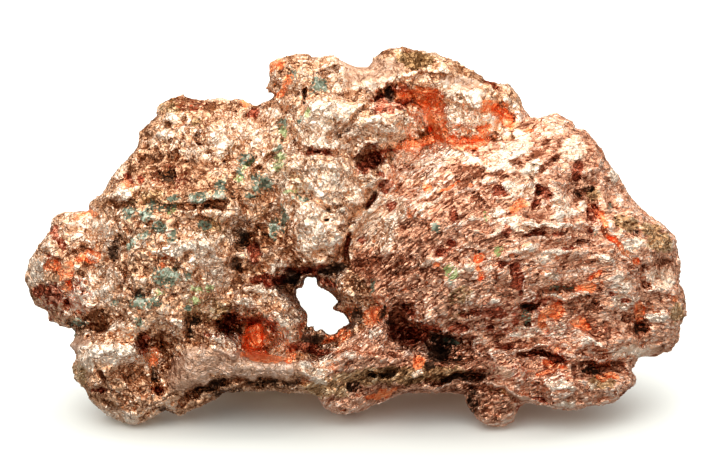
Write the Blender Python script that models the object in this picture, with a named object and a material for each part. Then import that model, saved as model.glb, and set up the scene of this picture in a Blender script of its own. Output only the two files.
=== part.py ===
"""A native copper nugget, 80 mm long, standing on its own rough base. Metres, +Z up.

The nugget grew as one piece of metal, so it is one object, `nugget`. Its lumps and hollows are drawn in
the plane of its display face: X to the right, Y away from the viewer, Z up the face. That plane then leans
back onto the feet. One unit of the lists below is a millimetre on a nugget of the length given.
"""

import math
from typing import NamedTuple

import bmesh
import bpy
from mathutils import Matrix, Vector

LENGTH = 0.080  # knob to nose
UNIT = LENGTH / 80
LEAN = math.radians(15)  # the display face tips back by this much when the nugget stands
FACE_ORIGIN = Vector((-0.4, -6.1, -1.9)) * UNIT  # stands the box on the ground, centred

VOXEL = 0.85 * UNIT  # grain of the merged metal, before it is thinned
CUTTER_VOXEL = 0.6 * UNIT
MELT_STEPS = 2  # smoothing passes that soften the seams between lumps
THINNED_SHARE = 0.20  # of the faces, which leaves just under 10,000 triangles

SWELL = (5.0 * UNIT, 1.4 * UNIT)  # scale and height of the broad unevenness
CLUSTER = (3.2 * UNIT, 1.9 * UNIT)  # the same for the clustered knuckles
HACKLE = (2.0 * UNIT, 0.9 * UNIT)  # the same for the small, hackly lumps
CUTTER_RAGGEDNESS = (2.2 * UNIT, 1.0 * UNIT)  # the same for the walls of the hollows

FLOOR_BLOCK = 0.2  # size of the block below the ground, which trims the feet flat


class Lump(NamedTuple):
    """An ellipsoid of the display face: centre and radii in units, tilt in degrees, right end up."""

    centre: tuple
    radii: tuple
    tilt: float = 0.0


LEFT_END = {
    "knob": Lump((-34.4, 0.0, 18.9), (5.0, 7.0, 5.6)),
    "knob crown": Lump((-33.9, 0.5, 23.9), (3.6, 5.0, 2.8)),
    "knob chin": Lump((-34.3, 0.5, 14.9), (3.2, 5.0, 2.7)),
    "knob west": Lump((-37.4, -1.0, 17.9), (2.5, 3.5, 3.4)),
    "knob brow": Lump((-36.2, -2.5, 21.6), (2.3, 3.5, 2.0), 30),
    "knob inside": Lump((-31.0, -5.5, 16.5), (2.7, 3.5, 3.0)),
    "knob root": Lump((-29.5, -0.5, 12.8), (4.0, 7.5, 3.2)),
    "slope": Lump((-23.5, -1.0, 24.5), (9.5, 12.0, 7.5), 35),
    "slope tip": Lump((-29.2, 0.0, 27.5), (2.9, 4.5, 1.7), 10),
    "slope shelf": Lump((-27.5, 0.0, 30.5), (3.0, 5.0, 2.3), 45),
    "shoulder": Lump((-18.5, 0.5, 31.5), (8.0, 9.5, 8.0)),
    "shoulder far knob": Lump((-24.4, 0.0, 35.4), (2.0, 3.6, 2.2)),
    "shoulder west knob": Lump((-21.3, 0.5, 37.9), (2.9, 4.2, 2.7)),
    "shoulder middle knob": Lump((-16.8, 1.0, 38.0), (2.8, 4.2, 2.2)),
    "shoulder east knob": Lump((-13.6, 0.5, 38.0), (2.0, 3.6, 2.1)),
    "shoulder slope": Lump((-24.2, 0.5, 32.1), (3.0, 5.5, 3.1)),
    "belly": Lump((-22.0, -3.0, 19.0), (10.5, 10.5, 7.5)),
    "belly top": Lump((-17.0, -3.5, 27.0), (8.5, 9.5, 6.0)),
    "belly ledge": Lump((-19.0, -6.0, 21.5), (8.0, 7.5, 2.6)),
    "belly side": Lump((-12.5, -4.5, 20.5), (5.0, 7.5, 5.0)),
    "belly foot": Lump((-22.0, -5.0, 14.0), (8.0, 8.0, 3.8)),
}
HEAD = {
    "neck": Lump((-9.8, 1.0, 33.6), (4.5, 8.0, 4.6)),
    "head": Lump((-5.2, 0.0, 40.0), (5.1, 7.0, 5.2)),
    "head core": Lump((-4.0, 0.0, 35.5), (7.0, 9.0, 6.0)),
    "head west knob": Lump((-8.5, -0.5, 43.4), (2.5, 3.5, 2.0)),
    "head east knob": Lump((-4.0, 0.0, 43.4), (2.6, 4.0, 2.1)),
    "head spur": Lump((-9.4, -1.0, 41.2), (1.7, 2.0, 0.9)),
    "saddle": Lump((0.5, 3.0, 40.7), (4.2, 5.5, 3.1)),
    "cheek": Lump((-3.5, -7.0, 37.0), (4.2, 4.2, 3.2), -10),
    "tongue": Lump((3.6, -6.5, 37.2), (4.6, 4.0, 2.4)),
    "chunk top": Lump((-4.5, -8.5, 30.5), (5.0, 5.0, 4.0)),
    "chunk": Lump((-4.3, -9.5, 24.3), (4.2, 5.3, 4.9)),
    "chunk side": Lump((-0.5, -8.0, 28.5), (3.0, 4.5, 3.5)),
    "eye rim": Lump((1.5, -8.5, 30.5), (3.2, 4.0, 2.5), 20),
}
CREST = {
    "crest root": Lump((11.0, 6.0, 37.0), (9.0, 6.0, 6.0)),
    "crest west": Lump((5.0, 3.5, 43.0), (3.0, 5.5, 3.9)),
    "crest middle": Lump((9.5, 3.8, 42.4), (5.5, 6.0, 3.3), -12),
    "crest east": Lump((15.3, 3.8, 39.9), (5.2, 5.5, 2.7), -28),
    "crest tail": Lump((18.2, 4.0, 38.3), (2.6, 4.5, 3.5)),
}
DOME = {
    "dome": Lump((15.5, -1.0, 21.5), (16.5, 14.5, 12.5)),
    "dome brow": Lump((16.5, -1.5, 29.0), (13.0, 11.5, 5.9), 5),
    "dome shoulder": Lump((24.5, 0.5, 28.0), (8.0, 10.0, 8.3), -20),
    "dome knob": Lump((24.0, 1.0, 35.3), (3.0, 4.0, 3.0), -15),
    "dome east knob": Lump((27.6, 1.0, 33.6), (2.3, 4.0, 2.9)),
    "dome edge": Lump((29.7, 0.5, 28.3), (2.9, 6.5, 4.2), 35),
    "dome side": Lump((27.5, 0.0, 20.5), (10.0, 11.5, 9.5)),
    "dome skirt": Lump((24.5, -2.5, 15.0), (10.0, 8.5, 4.5)),
    "dome lip west": Lump((5.5, -7.0, 17.5), (5.2, 4.5, 3.5)),
    "dome lip": Lump((9.5, -9.5, 14.8), (2.8, 4.0, 3.0), 10),
    "pendant": Lump((0.0, -10.0, 17.3), (2.3, 3.3, 3.2)),
    "pendant root": Lump((-1.8, -6.5, 19.3), (2.8, 4.5, 2.3), 25),
}
RIGHT_END = {
    "end top": Lump((31.5, 0.0, 26.0), (3.2, 5.5, 3.0), -30),
    "end shoulder": Lump((34.7, 1.0, 21.8), (4.8, 6.5, 3.9), -20),
    "end": Lump((34.5, 1.0, 16.0), (5.2, 7.5, 6.8)),
    "end nose": Lump((38.0, 0.0, 14.0), (2.1, 3.5, 2.7)),
    "end chin": Lump((35.5, 0.0, 11.3), (3.4, 5.0, 2.3)),
}
BASE = {
    "block": Lump((-28.7, -4.0, 7.0), (5.2, 6.5, 4.9)),
    "block brow": Lump((-29.4, -5.5, 9.6), (4.7, 6.0, 2.2), 8),
    "block west": Lump((-32.5, -2.0, 9.9), (1.8, 4.0, 2.2)),
    "block flank": Lump((-30.6, -3.0, 5.8), (3.0, 5.0, 2.9), -35),
    "left foot": Lump((-26.8, -4.5, 4.2), (4.2, 5.0, 3.6)),
    "ridge toe": Lump((-21.3, -4.5, 4.8), (2.6, 4.5, 3.1)),
    "ridge west": Lump((-18.8, -6.5, 7.6), (4.8, 5.0, 3.4), 25),
    "ridge middle": Lump((-13.0, -7.5, 7.6), (5.5, 4.5, 2.5), 5),
    "ridge east": Lump((-7.5, -7.5, 7.3), (4.5, 4.2, 2.3), -5),
    "ridge underside": Lump((-13.0, -1.0, 6.8), (10.0, 7.0, 2.4)),
    "snout": Lump((-11.0, -8.5, 15.2), (4.9, 4.2, 2.4), -12),
    "snout tip": Lump((-7.5, -9.0, 13.4), (2.3, 3.2, 2.1)),
    "keel": Lump((-0.8, -4.0, 5.1), (4.2, 5.5, 3.3), 8),
    "strip west": Lump((0.5, -5.5, 8.7), (6.0, 6.0, 2.8)),
    "strip middle": Lump((6.5, -5.0, 7.4), (7.0, 6.5, 2.7)),
    "strip east": Lump((12.5, -3.0, 7.2), (5.0, 7.0, 2.8)),
    "hole lobe": Lump((2.2, -7.5, 12.2), (2.0, 3.6, 3.2), -25),
    "hole roof": Lump((-4.8, -2.5, 21.5), (5.5, 7.5, 3.2)),
    "hole west wall": Lump((-9.9, -2.5, 16.5), (3.2, 6.0, 4.0)),
    "hole east wall": Lump((1.4, -2.5, 14.5), (2.8, 6.5, 4.0)),
    "hole sill": Lump((-5.0, -2.0, 8.9), (6.5, 7.0, 2.3)),
    "ember wall": Lump((-13.0, -0.5, 11.0), (6.0, 6.0, 4.5)),
    "east base": Lump((23.5, -0.5, 9.5), (10.0, 9.5, 5.0)),
    "upper lip": Lump((26.0, -4.8, 11.0), (8.5, 6.5, 2.9), -3),
    "under lip": Lump((17.5, -7.0, 8.3), (3.6, 4.5, 2.2), -15),
    "lower lip": Lump((24.8, -7.0, 5.4), (4.2, 4.8, 2.9), -8),
    "lip corner": Lump((30.5, -5.0, 5.5), (2.6, 4.2, 2.6), 10),
    "lip wing": Lump((32.3, -3.0, 6.0), (1.8, 3.2, 1.7), 30),
    "right foot": Lump((16.7, -5.5, 3.5), (3.2, 4.2, 3.5)),
    "foot collar": Lump((18.0, -5.0, 5.5), (4.0, 4.5, 1.8), -15),
}
BACK = {
    "back west": Lump((-19.0, 6.0, 21.0), (11.0, 8.0, 10.5)),
    "back top": Lump((-2.0, 6.5, 30.0), (13.0, 7.5, 8.0)),
    "back east": Lump((17.0, 6.5, 21.0), (14.5, 9.0, 11.0)),
    "back sill": Lump((-8.0, 8.0, 8.9), (15.0, 6.5, 3.5)),
    "back link": Lump((8.0, 6.0, 12.0), (9.0, 7.0, 6.0)),
    "heel west": Lump((-15.0, 11.0, 8.5), (5.5, 5.5, 4.6)),
    "heel east": Lump((14.0, 10.5, 9.0), (6.5, 6.0, 5.2)),
    "back rib": Lump((6.0, 12.0, 25.0), (10.0, 4.0, 4.0), 25),
    "back boss": Lump((-14.0, 11.0, 26.0), (6.5, 4.5, 5.0), -15),
    "back knuckle": Lump((24.0, 12.0, 18.0), (5.0, 4.5, 4.5)),
}
LUMPS = {**LEFT_END, **HEAD, **CREST, **DOME, **RIGHT_END, **BASE, **BACK}

HOLLOWS = {
    "hole top": Lump((-5.2, 0.0, 16.4), (2.1, 30.0, 2.1)),
    "hole bottom": Lump((-3.5, 0.0, 13.0), (2.4, 30.0, 1.7)),
    "hole mouth": Lump((-5.0, -13.0, 15.8), (3.4, 6.5, 3.4)),
    "hole exit": Lump((-4.0, 16.0, 15.0), (5.0, 9.0, 4.5)),
    "slot by the hole": Lump((-10.3, -8.5, 18.2), (3.4, 5.5, 1.1), -8),
    "red cavity": Lump((11.3, -4.0, 37.4), (7.0, 7.5, 3.1), -8),
    "red cavity throat": Lump((6.0, -3.5, 40.2), (2.8, 5.0, 1.5)),
    "red cavity end": Lump((17.3, -3.0, 37.6), (2.2, 5.0, 2.2), -20),
    "eye": Lump((2.0, -11.5, 32.3), (2.6, 6.0, 1.4), 25),
    "ember pit": Lump((-11.6, -9.5, 11.2), (4.0, 5.0, 2.5)),
    "ember pit west": Lump((-15.6, -10.0, 13.0), (1.5, 4.0, 1.2), 20),
    "green pit": Lump((10.6, -9.5, 10.1), (2.2, 5.5, 1.9)),
    "gap by the pendant": Lump((1.2, -10.0, 14.2), (1.2, 5.0, 1.3)),
    "gap under the dome": Lump((5.3, -10.5, 13.0), (2.3, 4.5, 1.2), -30),
    "mouth": Lump((29.3, -9.0, 7.6), (3.9, 5.0, 0.8)),
    "mouth west": Lump((22.8, -10.5, 8.0), (4.2, 4.0, 0.7), -8),
    "west arch": Lump((-11.0, -9.0, 1.6), (7.5, 12.0, 3.0)),
    "east arch": Lump((7.5, -7.0, 1.6), (5.0, 11.0, 2.8)),
    "end pocket": Lump((34.6, -5.5, 12.6), (1.3, 3.5, 1.2)),
    "west crevice": Lump((-13.6, -12.5, 24.0), (1.1, 4.5, 3.6), 5),
    "knob crevice": Lump((-28.4, -12.0, 22.3), (0.9, 5.0, 2.6)),
    "block crevice": Lump((-25.0, -11.0, 9.5), (0.9, 4.0, 2.6), 15),
}


def clear_scene() -> None:
    """Removes every object that the file opened with."""
    for obj in list(bpy.data.objects):
        bpy.data.objects.remove(obj)


def ellipsoids(name: str, lumps: dict, smoothness: int) -> bpy.types.Object:
    """One object that holds an ellipsoid for each lump."""
    shape = bmesh.new()
    for lump in lumps.values():
        turned = Matrix.Rotation(math.radians(-lump.tilt), 4, "Y")
        stretched = Matrix.Diagonal((*[r * UNIT for r in lump.radii], 1.0))
        placed = Matrix.Translation([c * UNIT for c in lump.centre])
        bmesh.ops.create_icosphere(
            shape, subdivisions=smoothness, radius=1.0, matrix=placed @ turned @ stretched
        )
    mesh = bpy.data.meshes.new(name)
    shape.to_mesh(mesh)
    shape.free()
    obj = bpy.data.objects.new(name, mesh)
    bpy.context.scene.collection.objects.link(obj)
    return obj


def merge(obj: bpy.types.Object, voxel: float) -> None:
    """Fuses overlapping lumps into one skin."""
    remesh = obj.modifiers.new("Merge", "REMESH")
    remesh.mode = "VOXEL"
    remesh.voxel_size = voxel
    remesh.use_smooth_shade = True


def roughen(obj: bpy.types.Object, name: str, creased: bool, scale: float, height: float) -> None:
    """Raises and sinks the skin along its normals by a noise, whose hollows are rounded or creased."""
    noise = bpy.data.textures.new(name, "CLOUDS")
    noise.noise_type = "HARD_NOISE" if creased else "SOFT_NOISE"
    noise.noise_scale = scale
    displace = obj.modifiers.new(name, "DISPLACE")
    displace.texture = noise
    displace.texture_coords = "LOCAL"
    displace.strength = height
    displace.mid_level = 0.25 if creased else 0.5  # the level that leaves the nugget's size as it was


def subtract(obj: bpy.types.Object, name: str, cutter: bpy.types.Object) -> None:
    """Cuts the cutter's shape out of the object."""
    cut = obj.modifiers.new(name, "BOOLEAN")
    cut.operation = "DIFFERENCE"
    cut.solver = "EXACT"
    cut.object = cutter


def as_helper(obj: bpy.types.Object) -> bpy.types.Object:
    """Marks an object that shapes the nugget and isn't part of it."""
    obj.hide_render = True
    obj.display_type = "WIRE"
    return obj


def hollow_cutter() -> bpy.types.Object:
    """The nugget's hollows as one ragged solid."""
    cutter = as_helper(ellipsoids("hollow_cutter", HOLLOWS, 3))
    merge(cutter, CUTTER_VOXEL)
    roughen(cutter, "Ragged walls", False, *CUTTER_RAGGEDNESS)
    merge(cutter, CUTTER_VOXEL)
    return cutter


def floor_cutter() -> bpy.types.Object:
    """A block whose top face is the ground."""
    shape = bmesh.new()
    bmesh.ops.create_cube(shape, size=FLOOR_BLOCK, matrix=Matrix.Translation((0, 0, -FLOOR_BLOCK / 2)))
    mesh = bpy.data.meshes.new("floor_cutter")
    shape.to_mesh(mesh)
    shape.free()
    cutter = bpy.data.objects.new("floor_cutter", mesh)
    bpy.context.scene.collection.objects.link(cutter)
    return as_helper(cutter)


def display_frame() -> bpy.types.Object:
    """The plane of the display face, leaning back over the feet."""
    frame = bpy.data.objects.new("display_frame", None)
    bpy.context.scene.collection.objects.link(frame)
    frame.rotation_euler.x = -LEAN
    frame.location = FACE_ORIGIN
    return frame


def copper() -> bpy.types.Material:
    """Bare native copper with a rosy, satin surface."""
    material = bpy.data.materials.new("native_copper")
    material.use_nodes = True
    shader = material.node_tree.nodes["Principled BSDF"]
    shader.inputs["Base Color"].default_value = (0.66, 0.33, 0.22, 1.0)
    shader.inputs["Metallic"].default_value = 1.0
    shader.inputs["Roughness"].default_value = 0.38
    return material


def nugget() -> bpy.types.Object:
    """The whole nugget: lumps fused, hollows cut, skin roughened, feet trimmed flat."""
    frame = display_frame()
    body = ellipsoids("nugget", LUMPS, 4)
    hollows = hollow_cutter()
    body.parent = frame
    hollows.parent = frame
    merge(body, VOXEL)
    roughen(body, "Swell", False, *SWELL)
    roughen(body, "Cluster", True, *CLUSTER)
    merge(body, VOXEL)
    subtract(body, "Hollows", hollows)
    merge(body, VOXEL)
    melt = body.modifiers.new("Melt", "SMOOTH")
    melt.iterations = MELT_STEPS
    roughen(body, "Hackle", True, *HACKLE)
    thin = body.modifiers.new("Thin", "DECIMATE")
    thin.ratio = THINNED_SHARE
    subtract(body, "Feet", floor_cutter())
    body.data.materials.append(copper())
    return body


def main() -> None:
    """Builds the nugget in an empty scene."""
    clear_scene()
    nugget()


main()
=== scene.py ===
"""Dresses the native copper nugget: its fine hackly skin, its copper, its stains, its painted glow and shade,
and a plain studio.

Lengths are in millimetres in the plane of the display face (X to the right, Y away from the viewer, Z up
the face) until a mesh or a camera is placed, which is in metres in the row frame.
"""

import itertools
import logging
import math
from collections.abc import Callable, Iterator
from concurrent.futures import ThreadPoolExecutor
from dataclasses import dataclass
from enum import Enum

import bpy
import numpy as np
import openvdb
from mathutils import Matrix, Vector


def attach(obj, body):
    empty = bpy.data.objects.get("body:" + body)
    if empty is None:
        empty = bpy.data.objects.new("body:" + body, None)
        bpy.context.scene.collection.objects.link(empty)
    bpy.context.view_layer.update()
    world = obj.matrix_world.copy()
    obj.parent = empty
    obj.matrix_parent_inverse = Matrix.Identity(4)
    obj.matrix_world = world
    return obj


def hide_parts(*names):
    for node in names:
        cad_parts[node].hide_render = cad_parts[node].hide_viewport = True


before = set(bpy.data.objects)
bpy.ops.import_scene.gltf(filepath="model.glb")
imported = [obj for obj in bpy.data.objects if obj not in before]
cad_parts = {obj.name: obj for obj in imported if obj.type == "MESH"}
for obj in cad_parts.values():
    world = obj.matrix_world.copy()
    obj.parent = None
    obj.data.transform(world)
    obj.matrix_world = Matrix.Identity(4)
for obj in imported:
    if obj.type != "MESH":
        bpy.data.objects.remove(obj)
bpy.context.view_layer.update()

LOG = logging.getLogger("nugget")
MM = 0.001
FAR = 9e9  # beyond any distance
NOTHING = 99.0  # in mm, past every edge of the nugget
CORES = 4
SLICE = 1 << 16  # points that one core takes at a time

LAST = 1.001  # keeps a reading inside the last cell of an array

Size = float | tuple[float, float, float]


# ---------------------------------------------------------------------------------------------------------
# Noise and cells, in numpy
# ---------------------------------------------------------------------------------------------------------


def in_parts(work: Callable[[np.ndarray], np.ndarray], points: np.ndarray) -> np.ndarray:
    """Runs a point-wise function over slices of the points, on all cores.

    Args:
        work: Takes an (n, 3) slice and returns n values.
        points: The points, (n, 3).

    Returns:
        The values in the order of the points.
    """
    slices = [points[i : i + SLICE] for i in range(0, len(points), SLICE)]
    with ThreadPoolExecutor(CORES) as pool:
        return np.concatenate(list(pool.map(work, slices)))


def corners(share: np.ndarray) -> Iterator[tuple[tuple[int, ...], np.ndarray]]:
    """The corners of a cell, each with its weight for points that far through the cell, (n, 3)."""
    for corner in itertools.product((0, 1), repeat=3):
        weight = 1.0
        for axis, side in enumerate(corner):
            weight = weight * (share[:, axis] if side else 1 - share[:, axis])
        yield corner, weight


def cells_per_mm(size: Size) -> np.ndarray:
    """How many cells of a size fit in a millimetre, along each axis."""
    return (1 / np.array(size) * np.ones(3)).astype(np.float32)


class Hash:
    """A seeded hash of lattice cells, with tables of random vectors to look up by it."""

    def __init__(self, seed: int) -> None:
        """Fills the tables from the seed."""
        rng = np.random.default_rng(seed)
        self.order = rng.permutation(256).astype(np.int32)
        directions = rng.normal(size=(256, 3))
        self.directions = (directions / np.linalg.norm(directions, axis=1)[:, None]).astype(np.float32)
        self.jitter = rng.uniform(0.08, 0.92, size=(256, 3)).astype(np.float32)
        self.level = rng.uniform(-1.0, 1.0, size=256).astype(np.float32)

    def key(self, i: np.ndarray, j: np.ndarray, k: np.ndarray) -> np.ndarray:
        """The hash of cell (i, j, k), 0 to 255."""
        order = self.order
        return order[(order[(order[i & 255] + j) & 255] + k) & 255]


@dataclass(frozen=True)
class Noise:
    """Gradient noise of about -1 to 1.

    Attributes:
        scale: Size of one swell in mm, the same on all axes or along each.
        seed: Which noise.
        octaves: Halvings of the scale that are added.
    """

    scale: Size
    seed: int
    octaves: int = 1

    SHIFT = 17.3  # between the lattices of two octaves
    FADE = 0.55  # of an octave against the one before
    GAIN = 1.6  # spreads the sum to about -1 to 1

    def at(self, points: np.ndarray) -> np.ndarray:
        """The noise at points, (n, 3) to (n,)."""
        stretch = cells_per_mm(self.scale)

        def work(p: np.ndarray) -> np.ndarray:
            """The noise at a slice of them."""
            q = p.astype(np.float32) * stretch
            total, size, norm = 0.0, 1.0, 0.0
            for octave in range(self.octaves):
                shifted = q * (2.0**octave) + self.SHIFT * octave
                total = total + size * self._octave(shifted, self.seed + octave)
                norm += size
                size *= self.FADE
            return (total / norm * self.GAIN).astype(np.float32)

        return in_parts(work, points)

    @staticmethod
    def _octave(q: np.ndarray, seed: int) -> np.ndarray:
        """One octave of gradient noise on a unit lattice."""
        table = Hash(seed)
        cell = np.floor(q).astype(np.int32)
        f = q - cell
        total = np.zeros(len(q), np.float32)
        for (dx, dy, dz), weight in corners(f * f * f * (f * (f * 6 - 15) + 10)):
            g = table.directions[table.key(cell[:, 0] + dx, cell[:, 1] + dy, cell[:, 2] + dz)]
            total += weight * ((f[:, 0] - dx) * g[:, 0] + (f[:, 1] - dy) * g[:, 1] + (f[:, 2] - dz) * g[:, 2])
        return total


@dataclass(frozen=True)
class Facets:
    """Crystal faces: cells that each carry a plane of their own tilt and level, from about -1 to 1.

    Attributes:
        scale: Size of a cell in mm, the same on all axes or along each.
        seed: Which cells.
        tilt: How far the planes lean, as a share of the cell.
    """

    scale: Size
    seed: int
    tilt: float

    STEP = 0.6  # between the highest and the middle level

    def at(self, points: np.ndarray) -> np.ndarray:
        """The height of the faces at points, (n, 3) to (n,)."""
        stretch = cells_per_mm(self.scale)
        table = Hash(self.seed)

        def work(p: np.ndarray) -> np.ndarray:
            """The height at a slice of them: that of the plane of the nearest cell."""
            q = p.astype(np.float32) * stretch
            cell = np.floor(q).astype(np.int32)
            f = q - cell
            best = np.full(len(q), FAR, np.float32)
            height = np.zeros(len(q), np.float32)
            for dx, dy, dz in itertools.product((-1, 0, 1), repeat=3):
                key = table.key(cell[:, 0] + dx, cell[:, 1] + dy, cell[:, 2] + dz)
                away = f - table.jitter[key] - np.array([dx, dy, dz], np.float32)
                far = (away * away).sum(axis=1)
                near = far < best
                best[near] = far[near]
                plane = (away[near] * table.directions[key[near]]).sum(axis=1)
                height[near] = table.level[key[near]] * self.STEP + self.tilt * plane
            return height

        return in_parts(work, points)


def ramp(values: np.ndarray, low: float, high: float) -> np.ndarray:
    """0 below low, 1 above high, smooth between."""
    t = np.clip((values - low) / (high - low), 0.0, 1.0)
    return t * t * (3 - 2 * t)


def linked(name: str, data: bpy.types.ID) -> bpy.types.Object:
    """A new object with that data, linked to the scene."""
    obj = bpy.data.objects.new(name, data)
    bpy.context.scene.collection.objects.link(obj)
    return obj


# ---------------------------------------------------------------------------------------------------------
# The display face and its lattice
# ---------------------------------------------------------------------------------------------------------


@dataclass(frozen=True)
class DisplayFace:
    """The plane that the nugget is shown by, which leans back over the feet.

    Attributes:
        lean: How far it tips back, in radians.
        origin: Where its origin stands in the row frame, in mm.
        aim: The middle of the view, in display mm.
        distance: How far the viewer stands from it, in mm.
    """

    lean: float = math.radians(15)
    origin: tuple[float, float, float] = (-0.4, -6.1, -1.9)
    aim: tuple[float, float, float] = (-0.24, -5.0, 23.4)
    distance: float = 450.0

    def matrix(self) -> Matrix:
        """Display millimetres to row-frame metres."""
        return (
            Matrix.Translation(Vector(self.origin) * MM)
            @ Matrix.Rotation(-self.lean, 4, "X")
            @ Matrix.Scale(MM, 4)
        )

    def seen(self, x: np.ndarray, y: np.ndarray, z: np.ndarray) -> tuple[np.ndarray, np.ndarray]:
        """Where points stand on the face as the viewer sees them, in (x, z)."""
        share = self.distance / (self.distance + y - self.aim[1])
        return self.aim[0] + (x - self.aim[0]) * share, self.aim[2] + (z - self.aim[2]) * share

    def to_row(self, points: np.ndarray) -> np.ndarray:
        """Display millimetres to row-frame metres, (n, 3)."""
        m = np.array(self.matrix())
        return points @ m[:3, :3].T + m[:3, 3]

    def from_row(self, points: np.ndarray) -> np.ndarray:
        """Row-frame metres to display millimetres, (n, 3)."""
        m = np.array(self.matrix().inverted())
        return points @ m[:3, :3].T + m[:3, 3]


@dataclass
class Lattice:
    """Signed distance to the metal on a box of points: negative inside.

    Attributes:
        step: Spacing of the points, in mm.
        low: The first point.
        depth: The distances, one per point.
    """

    step: float
    low: np.ndarray
    depth: np.ndarray

    @classmethod
    def around(
        cls, vertices: np.ndarray, triangles: np.ndarray, step: float, margin: float, reach: float
    ) -> "Lattice":
        """The lattice around a closed mesh.

        Args:
            vertices: Its points, in mm.
            triangles: Its faces.
            step: Spacing of the lattice.
            margin: Empty space kept round the mesh.
            reach: How far from the surface the distances are true.

        Returns:
            The filled lattice.
        """
        grid = openvdb.FloatGrid.createLevelSetFromPolygons(
            vertices.astype(np.float32),
            triangles=triangles.astype(np.uint32),
            transform=openvdb.createLinearTransform(voxelSize=step),
            halfWidth=reach / step,
        )
        first = np.floor((vertices.min(axis=0) - margin) / step).astype(int)
        last = np.ceil((vertices.max(axis=0) + margin) / step).astype(int)
        depth = np.empty(tuple(last - first + 1), np.float32)
        grid.copyToArray(depth, ijk=tuple(int(v) for v in first))
        return cls(step, first * step, depth)

    def points(self, index: tuple) -> np.ndarray:
        """The positions of the lattice points with those indices, (n, 3)."""
        return (np.stack(index, axis=1) * self.step + self.low).astype(np.float32)

    def sample(self, values: np.ndarray, points: np.ndarray) -> np.ndarray:
        """Reads an array of the lattice's shape between its points."""
        top = np.array(values.shape) - LAST

        def work(p: np.ndarray) -> np.ndarray:
            """The values at a slice of the points."""
            q = np.clip((p - self.low) / self.step, 0, top)
            i = q.astype(np.int32)
            f = (q - i).astype(np.float32)
            total = np.zeros(len(p), np.float32)
            for (dx, dy, dz), weight in corners(f):
                total += weight * values[i[:, 0] + dx, i[:, 1] + dy, i[:, 2] + dz]
            return total

        return in_parts(work, points)

    def blurred(self, values: np.ndarray, radius: float) -> np.ndarray:
        """An array of the lattice's shape, box-blurred twice with that half width in mm."""
        r = max(1, int(round(radius / self.step)))
        width = 2 * r + 1
        out = values
        for axis in (0, 1, 2) * 2:
            n = out.shape[axis]
            padded = np.pad(out, [(r + 1, r) if k == axis else (0, 0) for k in range(3)], mode="edge")
            total = np.cumsum(padded, axis=axis, dtype=np.float64)
            upper = np.take(total, range(width, width + n), axis)
            lower = np.take(total, range(0, n), axis)
            out = ((upper - lower) / width).astype(np.float32)
        return out

    def front(self, nothing: float) -> np.ndarray:
        """The Y of the metal nearest the viewer over each (x, z), or the value for nothing there."""
        solid = self.depth < 0
        y = self.low[1] + solid.argmax(axis=1) * self.step
        return np.where(solid.any(axis=1), y, nothing)

    def window(self, low: np.ndarray, high: np.ndarray) -> tuple:
        """Slices of the lattice that cover a box, as far as it reaches."""
        a = np.maximum(np.floor((low - self.low) / self.step).astype(int), 0)
        b = np.minimum(np.ceil((high - self.low) / self.step).astype(int) + 1, self.depth.shape)
        return tuple(slice(i, j) for i, j in zip(a, b))

    def axes(self, window: tuple) -> tuple:
        """Open grids of X, Y and Z over a window."""
        return tuple(
            (self.low[k] + np.arange(s.start, s.stop) * self.step).astype(np.float32).reshape(
                tuple(-1 if m == k else 1 for m in range(3))
            )
            for k, s in enumerate(window)
        )

    def skin(self) -> tuple[np.ndarray, np.ndarray]:
        """The surface as (vertices in mm, quads that face out)."""
        grid = openvdb.FloatGrid(self.step * 8)
        grid.copyFromArray(self.depth)
        grid.transform = openvdb.createLinearTransform(voxelSize=self.step)
        vertices, quads = grid.convertToQuads(isovalue=0.0)
        return vertices + self.low, quads


# ---------------------------------------------------------------------------------------------------------
# Marks of the display face: hollows, cracks, ribs, tints
# ---------------------------------------------------------------------------------------------------------


class Tint(Enum):
    """What the metal is stained, worn or lit by, each a point attribute of the skin."""

    # pale: worn bright metal, and painted highlights where the face catches the light
    PALE = "pale"
    # umber: brown patina, and painted shade that darkens parts of the face
    UMBER = "umber"
    GILD = "gild"
    BLUSH = "blush"
    # ember: painted glow of light reflected back and forth inside the hollows
    EMBER = "ember"
    # blood: painted dark red glow and shade deeper in the hollows and under overhangs
    BLOOD = "blood"
    # soot: brown-black oxide, and painted shade in pits and crevices
    SOOT = "soot"
    VERDIGRIS = "verdigris"
    LIME = "lime"


# How far each tint's patches stand out of the face (+) or sink into it (-).
PROUD = {
    Tint.PALE: 0.35,
    Tint.UMBER: -0.30,
    Tint.GILD: 0.0,
    Tint.BLUSH: 0.15,
    Tint.EMBER: -0.30,
    Tint.BLOOD: -0.45,
    Tint.SOOT: -0.75,
    Tint.VERDIGRIS: 0.0,
    Tint.LIME: 0.0,
}

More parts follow.
